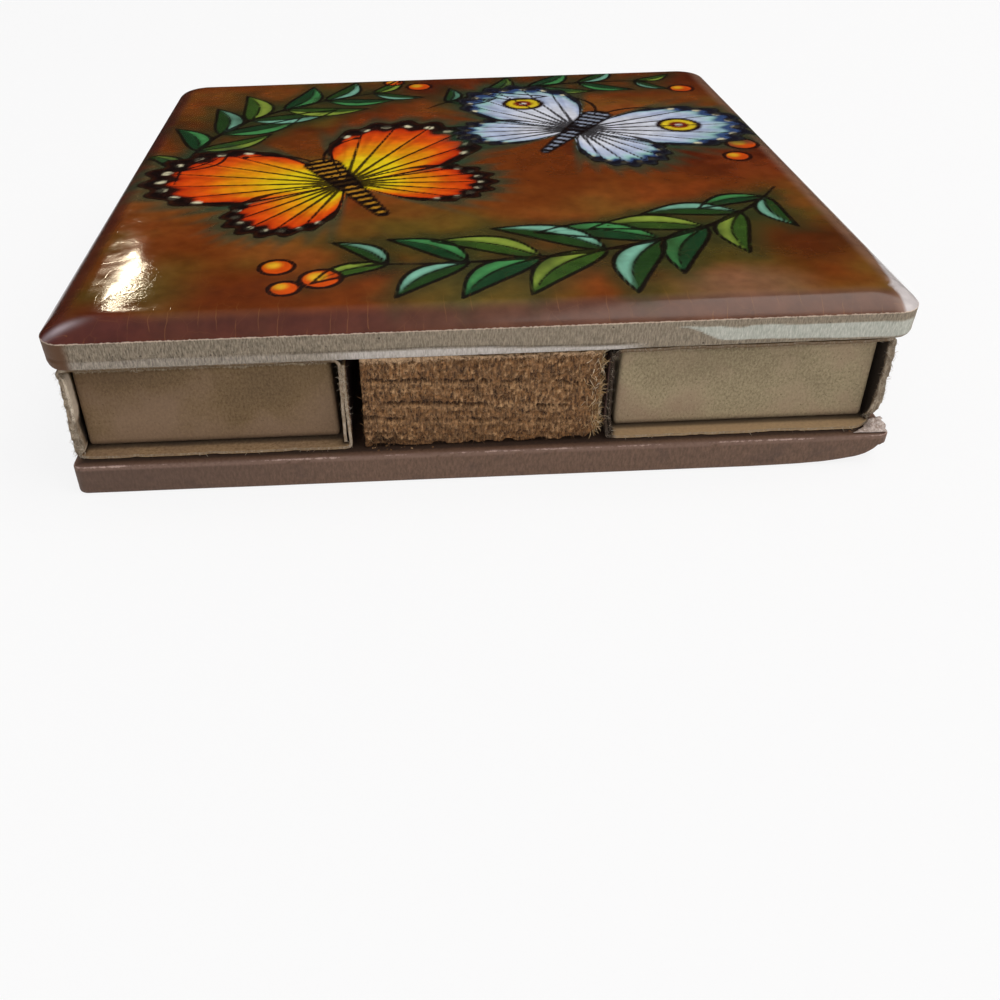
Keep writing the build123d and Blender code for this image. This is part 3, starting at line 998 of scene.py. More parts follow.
# %% Wooden strip skin
wood_low, wood_high = box_of("centre_strip")
wood_wide, wood_high_z = wood_high[0] - wood_low[0], wood_high[2] - wood_low[2]
wood_end, wood_break = wood_high[1], 1.3
wood_middle = (wood_low[0] + wood_high[0]) / 2
end_columns, end_rows = 222, 98
wood_cracks = ((0.14, 0.5), (0.32, 0.9), (0.41, 0.3), (0.504, 1.0), (0.66, 0.35), (0.745, 0.9))
grain_step = np.array([0.25, 0.6, 1.2, 2.4, 5.0, 10.0, 20.0, 32.0])


def wood_outline(u, w, depth):
    """Place across and up for shares u and w of the end's width and height, with its ragged outline."""
    x = wood_low[0] + u * wood_wide
    z = wood_low[2] + w * wood_high_z
    fade = math.exp(-depth / 2.5)
    x = x + (1 - 2 * u) * abs(1 - 2 * u) ** 6 * fade * (0.12 + 0.23 * u) * clouds(z, 0 * z + depth, 1.1, 61)
    z_pull = 0.1 + 0.5 * ease(clouds(x, 0 * x + depth, 1.1, 62), 0.4, 0.7)
    z = z + (1 - w) ** 9 * fade * z_pull * ease(x - wood_low[0], 0.3, 1.4)
    worn_top = 0.15 + 0.55 * ease(x, -5, -1)
    z = z - w ** 12 * fade * worn_top * clouds(x, 0 * x + depth, 0.9, 63)
    cut = np.clip(wood_break + 0.7 * fade - (wood_high[0] - x) - (z - wood_low[2]), 0, None)
    return x - cut / 2, z + cut / 2


def wood_end_face(facing, seed):
    """Points over one sawn end, with how dark, frayed and tufted each is; facing is -1 at the front."""
    w, u = shares_over(end_rows, end_columns)
    x, z = wood_outline(u, w, 0.0)
    tufts = 0.4 * clouds(x * 2.6 + seed, z * 1.4, 1.0, 64 + seed)
    tufts = tufts + 0.25 * clouds(x + seed, z * 1.5, 4.0, 65 + seed)
    tufts = tufts + 0.35 * noise(x * 4, z * 2.6, 1.0, 76 + seed)
    dark = 0.35 * ease(0.36 - clouds(x * 2, z * 3, 1.6, 73 + seed), 0.0, 0.08)
    break_up = ease(clouds(x * 4, z * 2.5, 1.0, 77 + seed), 0.3, 0.55)
    to_left = ease(wood_middle - x, -6, 3)
    pale = 0 * dark
    for crack_level, strength in wood_cracks:
        lane = 30 * crack_level
        sway = 0.06 * (noise(x, 0 * x + lane, 7, 66 + seed) - 0.5)
        sway = sway + 0.05 * (clouds(x, 0 * x + lane, 1.6, 67 + seed) - 0.5)
        row = crack_level - 0.0034 * (x - wood_low[0]) + sway
        dash = ease(clouds(x, 0 * x + 40 * crack_level, 1.7, 68 + seed) + 0.1 * to_left, 0.46, 0.62)
        width = 0.008 + 0.02 * clouds(x, 0 * x + 9 * crack_level, 0.6, 72 + seed)
        dark = np.maximum(dark, np.exp(-((w - row) / width) ** 2) * dash * strength * break_up)
        pale = np.maximum(pale, np.exp(-((w - row + 0.045) / 0.022) ** 2) * strength * (0.4 + 0.6 * dash))
    for split_x, split_w, reach_x, reach_w in ((-0.5, 0.61, 0.2, 0.07), (1.75, 0.56, 0.22, 0.045),
                                               (-0.4, 0.45, 0.9, 0.018), (13.6, 0.61, 0.35, 0.022)):
        gap = ((x - wood_middle - split_x) / reach_x) ** 2 + ((w - split_w) / reach_w) ** 2
        dark = np.maximum(dark, 0.9 * np.exp(-gap))
    cavity = np.exp(-((x - wood_low[0] - 2.6) / 1.7) ** 2)
    bitten = ease(0.09 + 0.05 * cavity - w + 0.2 * (clouds(x, z, 0.8, 69 + seed) - 0.5), 0.0, 0.05)
    bitten = bitten * (0.25 + 0.75 * cavity)
    depth = 0.9 * (1 - tufts) + 0.6 * dark + 0.8 * bitten + 0.3 * w ** 14
    tuft = np.maximum(ease(tufts, 0.5, 0.68), 0.75 * pale) * (1 - dark) * (1 - bitten)
    edge_right = ease(u, 0.955, 0.99) + ease(1 - u, 0.97, 0.995)
    frayed = 0.75 + 0.8 * ease(w, 0.9, 1.0) + 0.5 * edge_right - 0.5 * dark
    return np.stack([x, facing * (wood_end - depth), z], -1), np.maximum(dark, 0.7 * bitten), frayed, tuft


w_net, u_net = shares_over(end_rows, end_columns)
end_number = np.arange(end_rows * end_columns).reshape(end_rows, end_columns)
wood_around = len(border_of(end_number))
front_face, front_dark, front_fray, front_tuft = wood_end_face(-1, 0)
back_face, back_dark, back_fray, back_tuft = wood_end_face(1, 5)
between, between_dark, between_fray = [], [], []
for facing, steps in ((-1, grain_step), (1, grain_step[::-1])):
    for step in steps:
        x, z = wood_outline(border_of(u_net), border_of(w_net), step)
        rough = 0.12 * clouds(x + z, 0 * x + step, 0.8, 71) * math.exp(-step / 4)
        between.append(np.column_stack([x, facing * (wood_end - step - 0.2) + 0 * x, z - rough * (z > 9)]))
        between_dark.append(np.zeros(len(x)))
        between_fray.append(np.full(len(x), 0.7 * math.exp(-step / 0.5)))
wood_points = np.concatenate([front_face.reshape(-1, 3), back_face.reshape(-1, 3)] + between)
wood_dark = np.concatenate([front_dark.ravel(), back_dark.ravel()] + between_dark)
wood_fray = np.concatenate([front_fray.ravel(), back_fray.ravel()] + between_fray)
wood_tuft = np.concatenate([front_tuft.ravel(), back_tuft.ravel()] + between_dark)
from_right, from_end = wood_high[0] - wood_points[:, 0], wood_end - abs(wood_points[:, 1])
near_right = np.exp(-from_right / 0.5) * np.exp(-from_end / 1.2)
in_patches = 0.55 + 0.45 * ease(clouds(wood_points[:, 2], wood_points[:, 1] * 0, 1.2, 75), 0.4, 0.6)
wood_splinter = near_right * in_patches
count = end_rows * end_columns
first_between = 2 * count
wood_faces = net(end_rows, end_columns) + net(end_rows, end_columns, False, count)
wood_faces += net(len(between), wood_around, True, first_between)
rim_of_end = border_of(end_number)
here = np.arange(wood_around)
there = (here + 1) % wood_around
last_row = first_between + (len(between) - 1) * wood_around
front_joint = [rim_of_end[here], rim_of_end[there], first_between + there, first_between + here]
back_joint = [last_row + here, last_row + there, count + rim_of_end[there], count + rim_of_end[here]]
for joint in (front_joint, back_joint):
    wood_faces += np.stack(joint, -1).tolist()
print("wood skin", len(wood_points), "points")

# %% [markdown]
# Sawn softwood, cut across the grain: warm brown, with fibres that the saw pulled upright, so the end is
# streaked with paler and darker hairs. Deep in the cracks it is nearly black, because dust and shade gather
# there. A second, paler version of the same wood is for the loose fibres, whose tone varies from one to the
# next.

# %% Sawn softwood
wood, tree, surface = start_material("sawn_softwood")
place = part("place")
dark_share = part("fact", attribute_name="dark")
upright = part("stretch", place, (per(0.22), per(1.6), per(0.9)))
hairs = part("noise", upright, 1.0, 5.0, 0.7)
fuzz = part("noise", place, per(0.38), 6.0, 0.8)
hairs = part("mix_value", 0.5, hairs, fuzz)
haired = part("ramp", hairs, 0.42, 0.6)
brown = part("mix", haired, "#2b1708", "#a27243")
standing = part("fact", attribute_name="tuft")
standing = part("times", standing, haired)
brown = part("mix", standing, brown, "#cda373")
patches = part("noise", place, per(2.2), 5.0, 0.65)
patched = part("ramp", patches, 0.45, 0.68, 0.0, 0.4)
shaded = part("mix", patched, brown, "#8d6a48")
# Paler towards the top edge: partly pale standing tufts, partly a painted highlight.
top_highlight = part("height", place)
top_highlight = part("ramp", top_highlight, 15.0 * MM, 17.3 * MM, -0.6, 0.16)
tufted = part("plus", fuzz, top_highlight)
tufted = part("ramp", tufted, 0.45, 0.62, 0.0, 0.95)
shaded = part("mix", tufted, shaded, "#dab68e")
broken_up = part("times_plus", hairs, -0.8, dark_share)
cracked = part("ramp", broken_up, -0.28, 0.42, 0.0, 0.9)
deep = part("mix", cracked, shaded, "#1c0d04")
dress(surface, deep, 0.85, hairs, 0.8, 0.25)

strip = make_piece("sawn_strip", wood_points * MM, wood_faces, [wood], dark=wood_dark, fray=wood_fray,
                   splinter=wood_splinter, tuft=wood_tuft)
face_outwards(strip)
settle(strip, "holder", "sawn_softwood", "centre_strip")

# %% [markdown]
# A sleeve is one long strip of card, wrapped round and glued to itself: inside one wall the card lies
# double. Its skin follows that wrap. The middle line of the card is a path round the box, starting at the
# lap inside the wall and ending at the outer ply, and the card gets its thickness on both sides of the
# path. Near the mouth the plies swell, part and lean as they do on the old boxes, each sleeve in its own
# way.

# %% Wrapped card
sleeve_card, fold = 0.45, 1.0
lap_short, end_short = 0.6, 0.75
mouth_rows = np.concatenate([np.linspace(0, 44, 14), np.linspace(45.5, 51, 9), np.linspace(51.4, 53.4, 20)])


def rounded_path(corners, radius, step):
    """Points along straight runs with round corners, about a step apart."""
    corners = [np.array(c, float) for c in corners]
    places = [corners[0]]

    def walk_to(goal):
        here = places[-1]
        pieces = max(int(np.linalg.norm(goal - here) / step), 1)
        places.extend([here + (goal - here) * k / pieces for k in range(1, pieces + 1)])

    for before_it, corner, after_it in zip(corners, corners[1:], corners[2:]):
        back, on = before_it - corner, after_it - corner
        back, on = back / np.linalg.norm(back), on / np.linalg.norm(on)
        start, end = corner + back * radius, corner + on * radius
        walk_to(start)
        centre = corner + (back + on) * radius
        a0, a1 = start - centre, end - centre
        for k in range(1, 6):
            t = math.pi / 2 * k / 5
            places.append(centre + a0 * math.cos(t) + a1 * math.sin(t))
    walk_to(corners[-1])
    return np.array(places)


def wrap_path(width, height, side):
    """The card's middle line, from the lap inside the wall on that side to the end of the outer ply."""
    half, low, high = width / 2 - sleeve_card / 2, sleeve_card / 2, height - sleeve_card / 2
    lap = half - sleeve_card
    corners = [(side * lap, low + sleeve_card / 2 + lap_short), (side * lap, high), (-side * half, high),
               (-side * half, low), (side * half, low), (side * half, high - end_short + 0.3)]
    return rounded_path(corners, fold - sleeve_card / 2 - 0.2, 0.3)


box_names = ["front_left", "front_right", "back_left", "back_right"]
share_marks = [0, 0.06, 0.12, 0.2, 0.3, 0.4, 0.52, 0.65, 0.8, 0.88, 0.94, 1]
dents = {"front_left": [0, 0.02, 0.05, 0.05, 0.06, 0.14, 0.3, 0.26, 0.4, 0.42, 0.2, 0],
         "front_right": [0.1, 0.45, 0.4, 0.12, 0.02, 0, 0, 0.03, 0.02, 0.08, 0.03, 0],
         "back_left": [0, 0.1, 0.22, 0.3, 0.2, 0.1, 0.05, 0.1, 0.16, 0.1, 0, 0],
         "back_right": [0, 0.03, 0.08, 0.1, 0.22, 0.34, 0.3, 0.16, 0.05, 0.03, 0, 0]}
inner_reaches = {"front_left": [0.5, 1.2, 1.27, 1.22, 1.0, 1.08, 1.27, 1.27, 1.24, 1.05, 0.7, 0.45],
                 "front_right": [0.5, 1.2, 1.27, 1.22, 1.1, 0.95, 0.8, 0.74, 0.9, 1.0, 0.7, 0.45],
                 "back_left": [0.45, 0.7, 0.95, 1.05, 0.9, 0.75, 0.65, 0.8, 0.85, 0.7, 0.5, 0.45],
                 "back_right": [0.45, 0.55, 0.7, 0.8, 0.95, 1.1, 1.0, 0.8, 0.62, 0.55, 0.5, 0.45]}
swell_powers = {"front_left": 4, "front_right": 2, "back_left": 2, "back_right": 2}
swell_depths = {"front_left": 4.2, "front_right": 1.9, "back_left": 2.2, "back_right": 2.6}
lap_recesses = {"front_left": 0.0, "front_right": 1.7, "back_left": 0.3, "back_right": 0.9}
roof_recesses = {"front_left": 0.35, "front_right": 0.05, "back_left": 0.2, "back_right": 0.15}
lap_fans = {"front_left": 0.26, "front_right": 0.12, "back_left": 0.15, "back_right": 0.1}
torn_corners = {"front_left": 0.3, "front_right": 1.4, "back_left": 0.4, "back_right": 0.7}


def way_of(name):
    """Which way a box opens, -1 to the front, and on which side of it the wooden strip is, 1 on its right."""
    return -1 if name.startswith("front") else 1, 1 if name.endswith("left") else -1


def wear_of(name, u, w, depth, side, half, height):
    """How the card moves sideways and swells near the mouth: (sideways, thicker by, shorter by)."""
    seed = 3 * box_names.index(name)
    share = w / height
    near, close = np.exp(-depth / 4.5), np.exp(-(depth / swell_depths[name]) ** swell_powers[name])
    outer_wall = ease(-side * u, half - 0.9, half - 0.3)
    lap_wall = ease(side * u, half - 1.2, half - 0.7)
    inner_ply = lap_wall * ease(half - side * u, 0.5, 0.62)
    rough = 0.12 * (clouds(w * 2, depth, 1.0, 81 + seed) - 0.5)
    dent = np.interp(share, share_marks, dents[name])
    dent = dent + rough * ease(share, 0.03, 0.1) * ease(1 - share, 0.03, 0.1)
    reach = np.interp(share, share_marks, inner_reaches[name])
    reach = reach + 0.1 * (clouds(w, depth * 2, 0.8, 83 + seed) - 0.8)
    thick = sleeve_card + (np.maximum(reach - dent * near, 0.3) - sleeve_card) * close
    sideways = side * outer_wall * (dent * near + (thick - sleeve_card) / 2)
    thicker = outer_wall * (thick / sleeve_card - 1) - 0.12 * close * (1 - outer_wall)
    fan = ease(1 - share, 0.2, 1.0) * lap_fans[name] * near
    sideways = sideways + side * lap_wall * (fan * (1 - 1.2 * inner_ply) + 0.07 * close * inner_ply)
    sideways = sideways + side * lap_wall * close * 0.1 * (clouds(w, depth, 1.3, 82 + seed) - 0.5)
    jag = 0.12 * clouds(u + 3 * w, 0 * u, 0.8, 84 + seed)
    jag = jag + 0.22 * ease(clouds(u + 2 * w, 0 * u, 2.4, 85 + seed), 0.5, 0.8)
    jag = jag + outer_wall * 0.5 * clouds(w * 2.2, 0 * w, 1.0, 87 + seed)
    jag = jag + lap_recesses[name] * lap_wall * ease(share, 0.08, 0.2) * ease(1 - share, 0.07, 0.16)
    jag = jag + roof_recesses[name] * ease(w, height - 0.7, height - 0.3) * (1 - outer_wall) * (1 - lap_wall)
    corner_gap_here = np.hypot((half - abs(u)) * 0.8, w * 0.6)
    jag = jag + torn_corners[name] * np.exp(-(corner_gap_here / 1.2) ** 2) * (-side * u > 0)
    return sideways, thicker, jag


def wrapped_sleeve(name, low, high, facing, side):
    """Points, faces, raw, fray and shade of one sleeve: a loop over both faces of its card."""
    width, height, length = high[0] - low[0], high[2] - low[2], high[1] - low[1]
    half, middle = width / 2, (low[0] + high[0]) / 2
    back_y = low[1] if facing > 0 else high[1]
    path = wrap_path(width, height, side)
    tangent_of = np.gradient(path, axis=0)
    tangent_of /= np.linalg.norm(tangent_of, axis=1)[:, None]
    normal_of = np.column_stack([tangent_of[:, 1], -tangent_of[:, 0]]) * side
    u, w = path[:, 0], path[:, 1]
    outer = ease(-side * u, half - 0.9, half - 0.3)
    on_wall = ease(abs(u), half - 1.6, half - 0.8)
    depths = length * (1 - mouth_rows / mouth_rows[-1])
    edge_steps = (0.44, 0.33, 0.2, 0.07, -0.07, -0.2, -0.33, -0.44)
    one_side, other_side = [(d, 0.5, 0) for d in depths], [(d, -0.5, 0) for d in depths[::-1]]
    loop = one_side + [(0, k, 1) for k in edge_steps] + other_side
    lap = ease(side * u, half - 1.6, half - 0.8)
    lap_outer = lap * (side * u > half - sleeve_card)
    torn_back = lap * min(lap_recesses[name] / 1.7, 1)
    roof = ease(w, height - 0.7, height - 0.3) * (1 - on_wall)
    low_corner = outer * np.exp(-((w - 1.6) / 1.1) ** 2)
    skins, raw, fray, shade = [], [], [], []
    for depth, across, on_edge in loop:
        sideways, thicker, jag = wear_of(name, u, w, depth + 0 * u, side, half, height)
        push = across * sleeve_card * (1 + thicker)
        y = length - depth - jag * np.exp(-depth / np.maximum(0.7, 1.4 * jag))
        if on_edge:
            y = y - 0.03 - (0.15 + 0.35 * outer) * clouds(u * 3 + across * 9, w * 3, 0.7, 86)
        x = middle + u + sideways + push * normal_of[:, 0]
        z = np.clip(low[2] + w + push * normal_of[:, 1], low[2], high[2])
        skins.append(np.column_stack([x, back_y + facing * y, z]))
        bare = (0.5 + 0.5 * on_wall) * (1 - 0.8 * torn_back * ease(w, 0.8, 2.0)) * (1 - 0.3 * lap)
        worn_back = math.exp(-(depth / (0.9 * swell_depths[name])) ** 2)
        deep_raw = math.exp(-depth / 0.25) * 0.5 + outer * worn_back * 0.72
        raw.append(bare if on_edge else bare * deep_raw)
        # Painted shade: the inner faces of the walls darken with depth and the floor darkens just before the
        # drawer; the gap between the plies, the recessed lap wall and the roof under the tile get painted
        # shade too.
        on_floor = (w < 0.8) * (1 - on_wall)
        opened = ease(w / height, 0.06, 0.12) * ease(0.46 - w / height, 0, 0.08)
        opened = opened + ease(w / height, 0.86, 0.93)
        outer_start = 2.6 - 1.5 * opened if name == "front_left" else 0.5 * swell_depths[name] - 0.85 + 0 * w
        start = np.where(outer > 0.5, outer_start, 0.2)
        dusk = on_wall * ease(depth, start, start + 1.0) + on_floor * 0.8 * ease(depth, 1.3, 2.2)
        between_plies = lap * ease(depth, 0.05, 0.4)
        if across > 0:
            shade.append(between_plies * (1 - lap_outer) + 0.95 * torn_back * on_wall + 0.45 * roof)
        else:
            # Painted light: on the front left sleeve the inner face of the outer wall, which the tile shades,
            # is lightened by a negative shade.
            lit = outer * (1 - opened) * ease(2.5 - depth, 0, 0.5) * (name == "front_left")
            lit = lit * (0.55 + 0.45 * clouds(w * 2, depth + 0 * w, 0.7, 89))
            shade.append(np.maximum(dusk, between_plies * lap_outer) + 0.95 * torn_back * on_wall
                         + 0.45 * roof - lit)
        in_tufts = ease(clouds(u * 2 + w * 2, 0 * u, 1.3, 88), 0.3, 0.6)
        fray.append((0.08 + outer + 0.45 * lap + 1.5 * low_corner) * in_tufts * math.exp(-depth / 0.3))
    rows, columns = len(loop), len(path)
    points = np.concatenate(skins)
    faces = net(rows + 1, columns)
    faces = [[int(k) % (rows * columns) for k in face] for face in faces]
    for end in (0, columns - 1):
        for k in range(rows // 2 - 1):
            quad = [k, k + 1, rows - 2 - k, rows - 1 - k]
            faces.append([row * columns + end for row in quad])
    return points, faces, np.concatenate(raw), np.concatenate(fray), np.clip(np.concatenate(shade), -1, 1)

# %% [markdown]
# Sleeve card is grey board: pressed from waste paper, so it is buff with darker and paler fibres, matt, and
# a little wavy. Where it is cut or torn the core shows, paler and woolly. One material shows both, by the
# attribute that says how raw each point is. The shade attribute paints shade inside the mouth, and where it
# is below zero it paints light on the inner face of the front left sleeve's outer wall.

# %% Sleeve card
sleeve_paper, tree, surface = start_material("sleeve_card")
place = part("place")
raw_share = part("fact", attribute_name="raw")
pulp = part("noise", place, per(0.45), 5.0, 0.7)
pulped = part("ramp", pulp, 0.3, 0.7)
board_colour = part("mix", pulped, "#7f6446", "#b3946c")
stain = part("noise", place, per(7), 3.0)
stained = part("ramp", stain, 0.45, 0.7, 0.0, 0.5)
aged = part("mix", stained, board_colour, "#7d6450")
drawn = part("stretch", place, (per(0.3), per(0.6), per(1.1)))
wool = part("noise", drawn, 1.0, 4.0, 0.75)
woolly = part("ramp", wool, 0.35, 0.65)
core = part("mix", woolly, "#7d6c59", "#bdae98")
torn = part("times_plus", wool, 0.8, raw_share)
torn = part("ramp", torn, 0.75, 1.15)
to_right = part("east", place)
to_right = part("ramp", to_right, -5 * MM, 5 * MM, 0.0, 0.5)
low_down = part("height", place)
low_down = part("ramp", low_down, 5.2 * MM, 6.2 * MM, 1.0, 0.0)
to_right = part("times", to_right, low_down)
aged = part("mix", to_right, aged, "#c4a67c")
bare = part("mix", torn, aged, core)
dusk = part("fact", attribute_name="shade")
# Painted light where the shade is below zero, painted shade where it is above.
painted_light_share = part("times", dusk, -1.0, use_clamp=True)
bare = part("mix", painted_light_share, bare, "#f2e3cc")
dusk = part("times", dusk, 0.95, use_clamp=True)
dusky = part("mix", dusk, bare, "#1d1108")
dress(surface, dusky, 0.85, pulp, 0.45)

for box_name in box_names:
    low, high = box_of(box_name + "_sleeve")
    points, faces, raw, fray, shade = wrapped_sleeve(box_name, low, high, *way_of(box_name))
    sleeve = make_piece(box_name + "_sleeve_wrap", points * MM, faces, [sleeve_paper], raw=raw, fray=fray,
                        shade=shade)
    face_outwards(sleeve)
    settle(sleeve, "holder", "sleeve_card", box_name + "_sleeve")

# %% [markdown]
# The striking strips are a brown coat of glue and glass grit on both long sides of every sleeve. Each coat
# follows the wall under it, so where the wall is crumpled near the mouth the coat is crumpled too. Old
# matches left pale scratches along it.

# %% Striker coat
grit_coat, tree, surface = start_material("striker_coat")
place = part("place")
grit = part("noise", place, per(0.22), 3.0, 0.7)
gritty = part("ramp", grit, 0.35, 0.68)
coat_colour = part("mix", gritty, "#21130e", "#553427")
drawn_out = part("stretch", place, (per(0.5), per(9), per(0.3)))
scratch = part("noise", drawn_out, 1.0, 4.0, 0.6)
scratched = part("ramp", scratch, 0.56, 0.68, 0.0, 0.65)
struck = part("mix", scratched, coat_colour, "#8d6f57")
dress(surface, struck, 0.7, grit, 0.9)


def coat_on_wall(name, hand):
    """Points and faces of one coat, laid on its sleeve's wall."""
    low, high = box_of(name + "_sleeve")
    coat_low, coat_high = box_of(name + "_striker_" + hand)
    facing, side = way_of(name)
    wall = -1 if hand == "left" else 1
    half, height, length = (high[0] - low[0]) / 2, high[2] - low[2], high[1] - low[1]
    coat = coat_high[0] - coat_low[0]
    back_y = low[1] if facing > 0 else high[1]
    margin_y = (length - (coat_high[1] - coat_low[1])) / 2
    depths = np.concatenate([np.linspace(margin_y, 8, 34), np.linspace(9, length - margin_y, 30)])
    heights = np.linspace(coat_low[2] - low[2], coat_high[2] - low[2], 26)
    depth, w = np.meshgrid(depths, heights, indexing="ij")
    u = wall * (half - sleeve_card / 2) + 0 * w
    sideways, thicker, _ = wear_of(name, u, w, depth, side, half, height)
    surface_u = u + sideways + wall * sleeve_card / 2 * (1 + thicker)
    skins = []
    for lift in (coat * (0.55 + 0.4 * clouds(depth, w, 0.6, 91)), 0 * w - 0.03):
        x = (low[0] + high[0]) / 2 + surface_u + wall * lift
        skins.append(np.stack([x, back_y + facing * (length - depth), low[2] + w], -1))
    return np.concatenate([skin.reshape(-1, 3) for skin in skins]), sheet(*w.shape)


for box_name in box_names:
    for hand in ("left", "right"):
        points, faces = coat_on_wall(box_name, hand)
        coat_piece = make_piece(f"{box_name}_striker_{hand}_coat", points * MM, faces, [grit_coat])
        face_outwards(coat_piece)
        settle(coat_piece, "holder", "striker_coat", f"{box_name}_striker_{hand}")

# %% [markdown]
# A drawer is a tray folded from one piece of card: round folds under its walls, walls that bow a little,
# and a soft cut edge along the top. Rings of points run from the middle of the underside, up the outside,
# over the rim and down the inside. Behind each end panel lie the tabs of the side walls.

# %% Drawer tray
tray_card, tray_fold = 0.5, 0.6
tray_straight, tray_bend = 46, 5
tab_length, tab_short = 9.0, 0.4
tab_columns, tab_rows = 10, 8
pinches = {"front_left": (1, 0.5), "front_right": (-1, 0.3), "back_left": (-1, 0.2), "back_right": (1, 0.3)}


def tray(low, high, seed, pinched):
    """Points, faces and raw share of one folded tray with its four tabs, one wall leaning in at its mouth."""
    half = (high[:2] - low[:2]) / 2
    middle = (high[:2] + low[:2]) / 2
    tall = high[2] - low[2]
    outside = [(3.0, 0.0), (tray_fold, 0.0)]
    for step in range(1, 5):
        angle = math.pi / 2 * step / 4
        outside.append((tray_fold * (1 - math.sin(angle)), tray_fold * (1 - math.cos(angle))))
    outside += [(0.0, tray_fold + (tall - tray_fold) * k / 12) for k in range(1, 12)]
    top = [(0.03, tall - 0.03), (0.17, tall), (tray_card - 0.17, tall), (tray_card - 0.03, tall - 0.03)]
    inside = [(tray_card, tall - (tall - tray_card) * k / 8) for k in range(1, 8)]
    inside += [(tray_card + 0.08, tray_card + 0.08), (tray_card + 0.4, tray_card), (3.0, tray_card)]
    rings, raw = [], []
    for inset_by, height_of in outside + top + inside:
        radius = max(0.55 - inset_by, 0.2)
        flat = ring(half[0] - inset_by, half[1] - inset_by, radius, tray_straight, tray_bend)
        flat_x, flat_y = flat[:, 0], flat[:, 1]
        share = height_of / tall
        on_end = ease(abs(flat_y), half[1] - 1.2, half[1] - 0.6) * (1 - (flat_x / half[0]) ** 2)
        bow = 0.18 * (clouds(flat_x + seed, 0 * flat_x + share * 9, 14, 95) - 0.35) * share
        fuzz = 0.05 * (clouds(flat_x * 3, flat_y * 3, 1.2, 96 + seed) - 0.5) * (height_of > tall - 0.1)
        y = flat_y - np.sign(flat_y) * on_end * np.clip(bow, 0, 0.2)
        on_side = ease(abs(flat_x), half[0] - 1.2, half[0] - 0.6) * (1 - (flat_y / half[1]) ** 2)
        x = flat_x - np.sign(flat_x) * on_side * 0.35 * share * clouds(flat_y, 0 * y + 5, 20, 97 + seed)
        at_mouth = np.exp(-np.clip(half[1] - flat_y * np.sign(middle[1]), 0, None) / 9)
        on_leaning = ease(pinched[0] * flat_x, half[0] - 3, half[0])
        x = x - pinched[0] * pinched[1] * share * on_leaning * at_mouth
        z = low[2] + height_of - 0.25 * share * ease(clouds(flat_x * 2, flat_y * 2, 5, 98 + seed), 0.55, 0.8)
        rings.append(np.column_stack([middle[0] + x, middle[1] + y, np.minimum(z + fuzz, high[2])]))
        raw.append(np.full(len(flat), 1.0 if height_of > tall - 0.05 else 0.0))
    around_tray = len(rings[0])
    points = np.concatenate(rings)
    faces = net(len(rings), around_tray, True)
    faces.append(list(range(around_tray))[::-1])
    faces.append(list(range((len(rings) - 1) * around_tray, len(rings) * around_tray)))
    raw = np.concatenate(raw)
    tab_high = tall - tray_card - 2 * tab_short
    for end in (-1, 1):
        for hand in (-1, 1):
            across, up = shares_over(tab_columns, tab_rows)
            curl = 0.5 * across ** 2 * (0.3 + clouds(up * 4, up * 0 + hand, 2, 99 + seed))
            out_at = half[1] - tray_card - 0.04 - curl
            x = hand * (half[0] - tray_card - 0.05 - across * (tab_length - 1.2 * (up > 0.85) * across))
            if hand == pinched[0] and end == np.sign(middle[1]):
                x = x - hand * pinched[1] * up
            z = low[2] + tray_card + tab_short + up * tab_high * (1 - 0.12 * across)
            start = len(points)
            for back in (0.0, tray_card - 0.08):
                y = end * (out_at - back)
                sheet_points = np.stack([middle[0] + x, middle[1] + y, z], -1).reshape(-1, 3)
                points = np.concatenate([points, sheet_points])
                raw = np.concatenate([raw, (np.maximum(abs(up * 2 - 1), across) ** 14).ravel()])
            faces += sheet(tab_columns, tab_rows, start)
    return points, faces, raw

# %% [markdown]
# Drawer card is the same grey board, but smoother and greyer, with a fine mottle of fibres. The panels of
# the two front drawers differ a little: one is browner with a mauve bloom low on its right, the other more
# olive. A large soft noise that reads the object's own place gives both from one material.

# %% Drawer card
drawer_paper, tree, surface = start_material("drawer_card")
place = part("place")
raw_share = part("fact", attribute_name="raw")
felt = part("stretch", place, (per(0.3), per(0.3), per(0.45)))
mottle = part("noise", felt, 1.0, 6.0, 0.75)
mottled = part("ramp", mottle, 0.34, 0.66)
grey_card = part("mix", mottled, "#827458", "#b8a885")
patches = part("noise", place, per(4.5), 4.0)
patched = part("ramp", patches, 0.46, 0.62, 0.0, 0.45)
grey_card = part("mix", patched, grey_card, "#a58f74")
brown_card = part("mix", mottled, "#5c462b", "#876e4c")
to_right = part("ramp", part("east", place), -5 * MM, 5 * MM)
two_cards = part("mix", to_right, brown_card, grey_card)
bloom = part("noise", place, per(9), 3.0)
downwards = part("ramp", part("height", place), 15 * MM, 6 * MM, -0.12, 0.12)
bloom = part("plus", bloom, downwards)
bloomed = part("ramp", bloom, 0.44, 0.66, 0.0, 0.5)
mauve = part("mix", bloomed, two_cards, "#8a705b")
upwards = part("ramp", bloom, 0.52, 0.3, 0.0, 0.32)
mauve = part("mix", upwards, mauve, "#4c3a24")
far_left = part("ramp", part("east", place), -33 * MM, -47 * MM)
high_left = part("ramp", part("height", place), 9 * MM, 15 * MM, 0.0, 0.4)
high_left = part("times", high_left, far_left)
mauve = part("mix", high_left, mauve, "#4a3019")
fleck = part("noise", place, per(0.28), 2.0)
flecked = part("ramp", fleck, 0.66, 0.74, 0.0, 0.6)
specked = part("mix", flecked, mauve, "#4f3e2a")
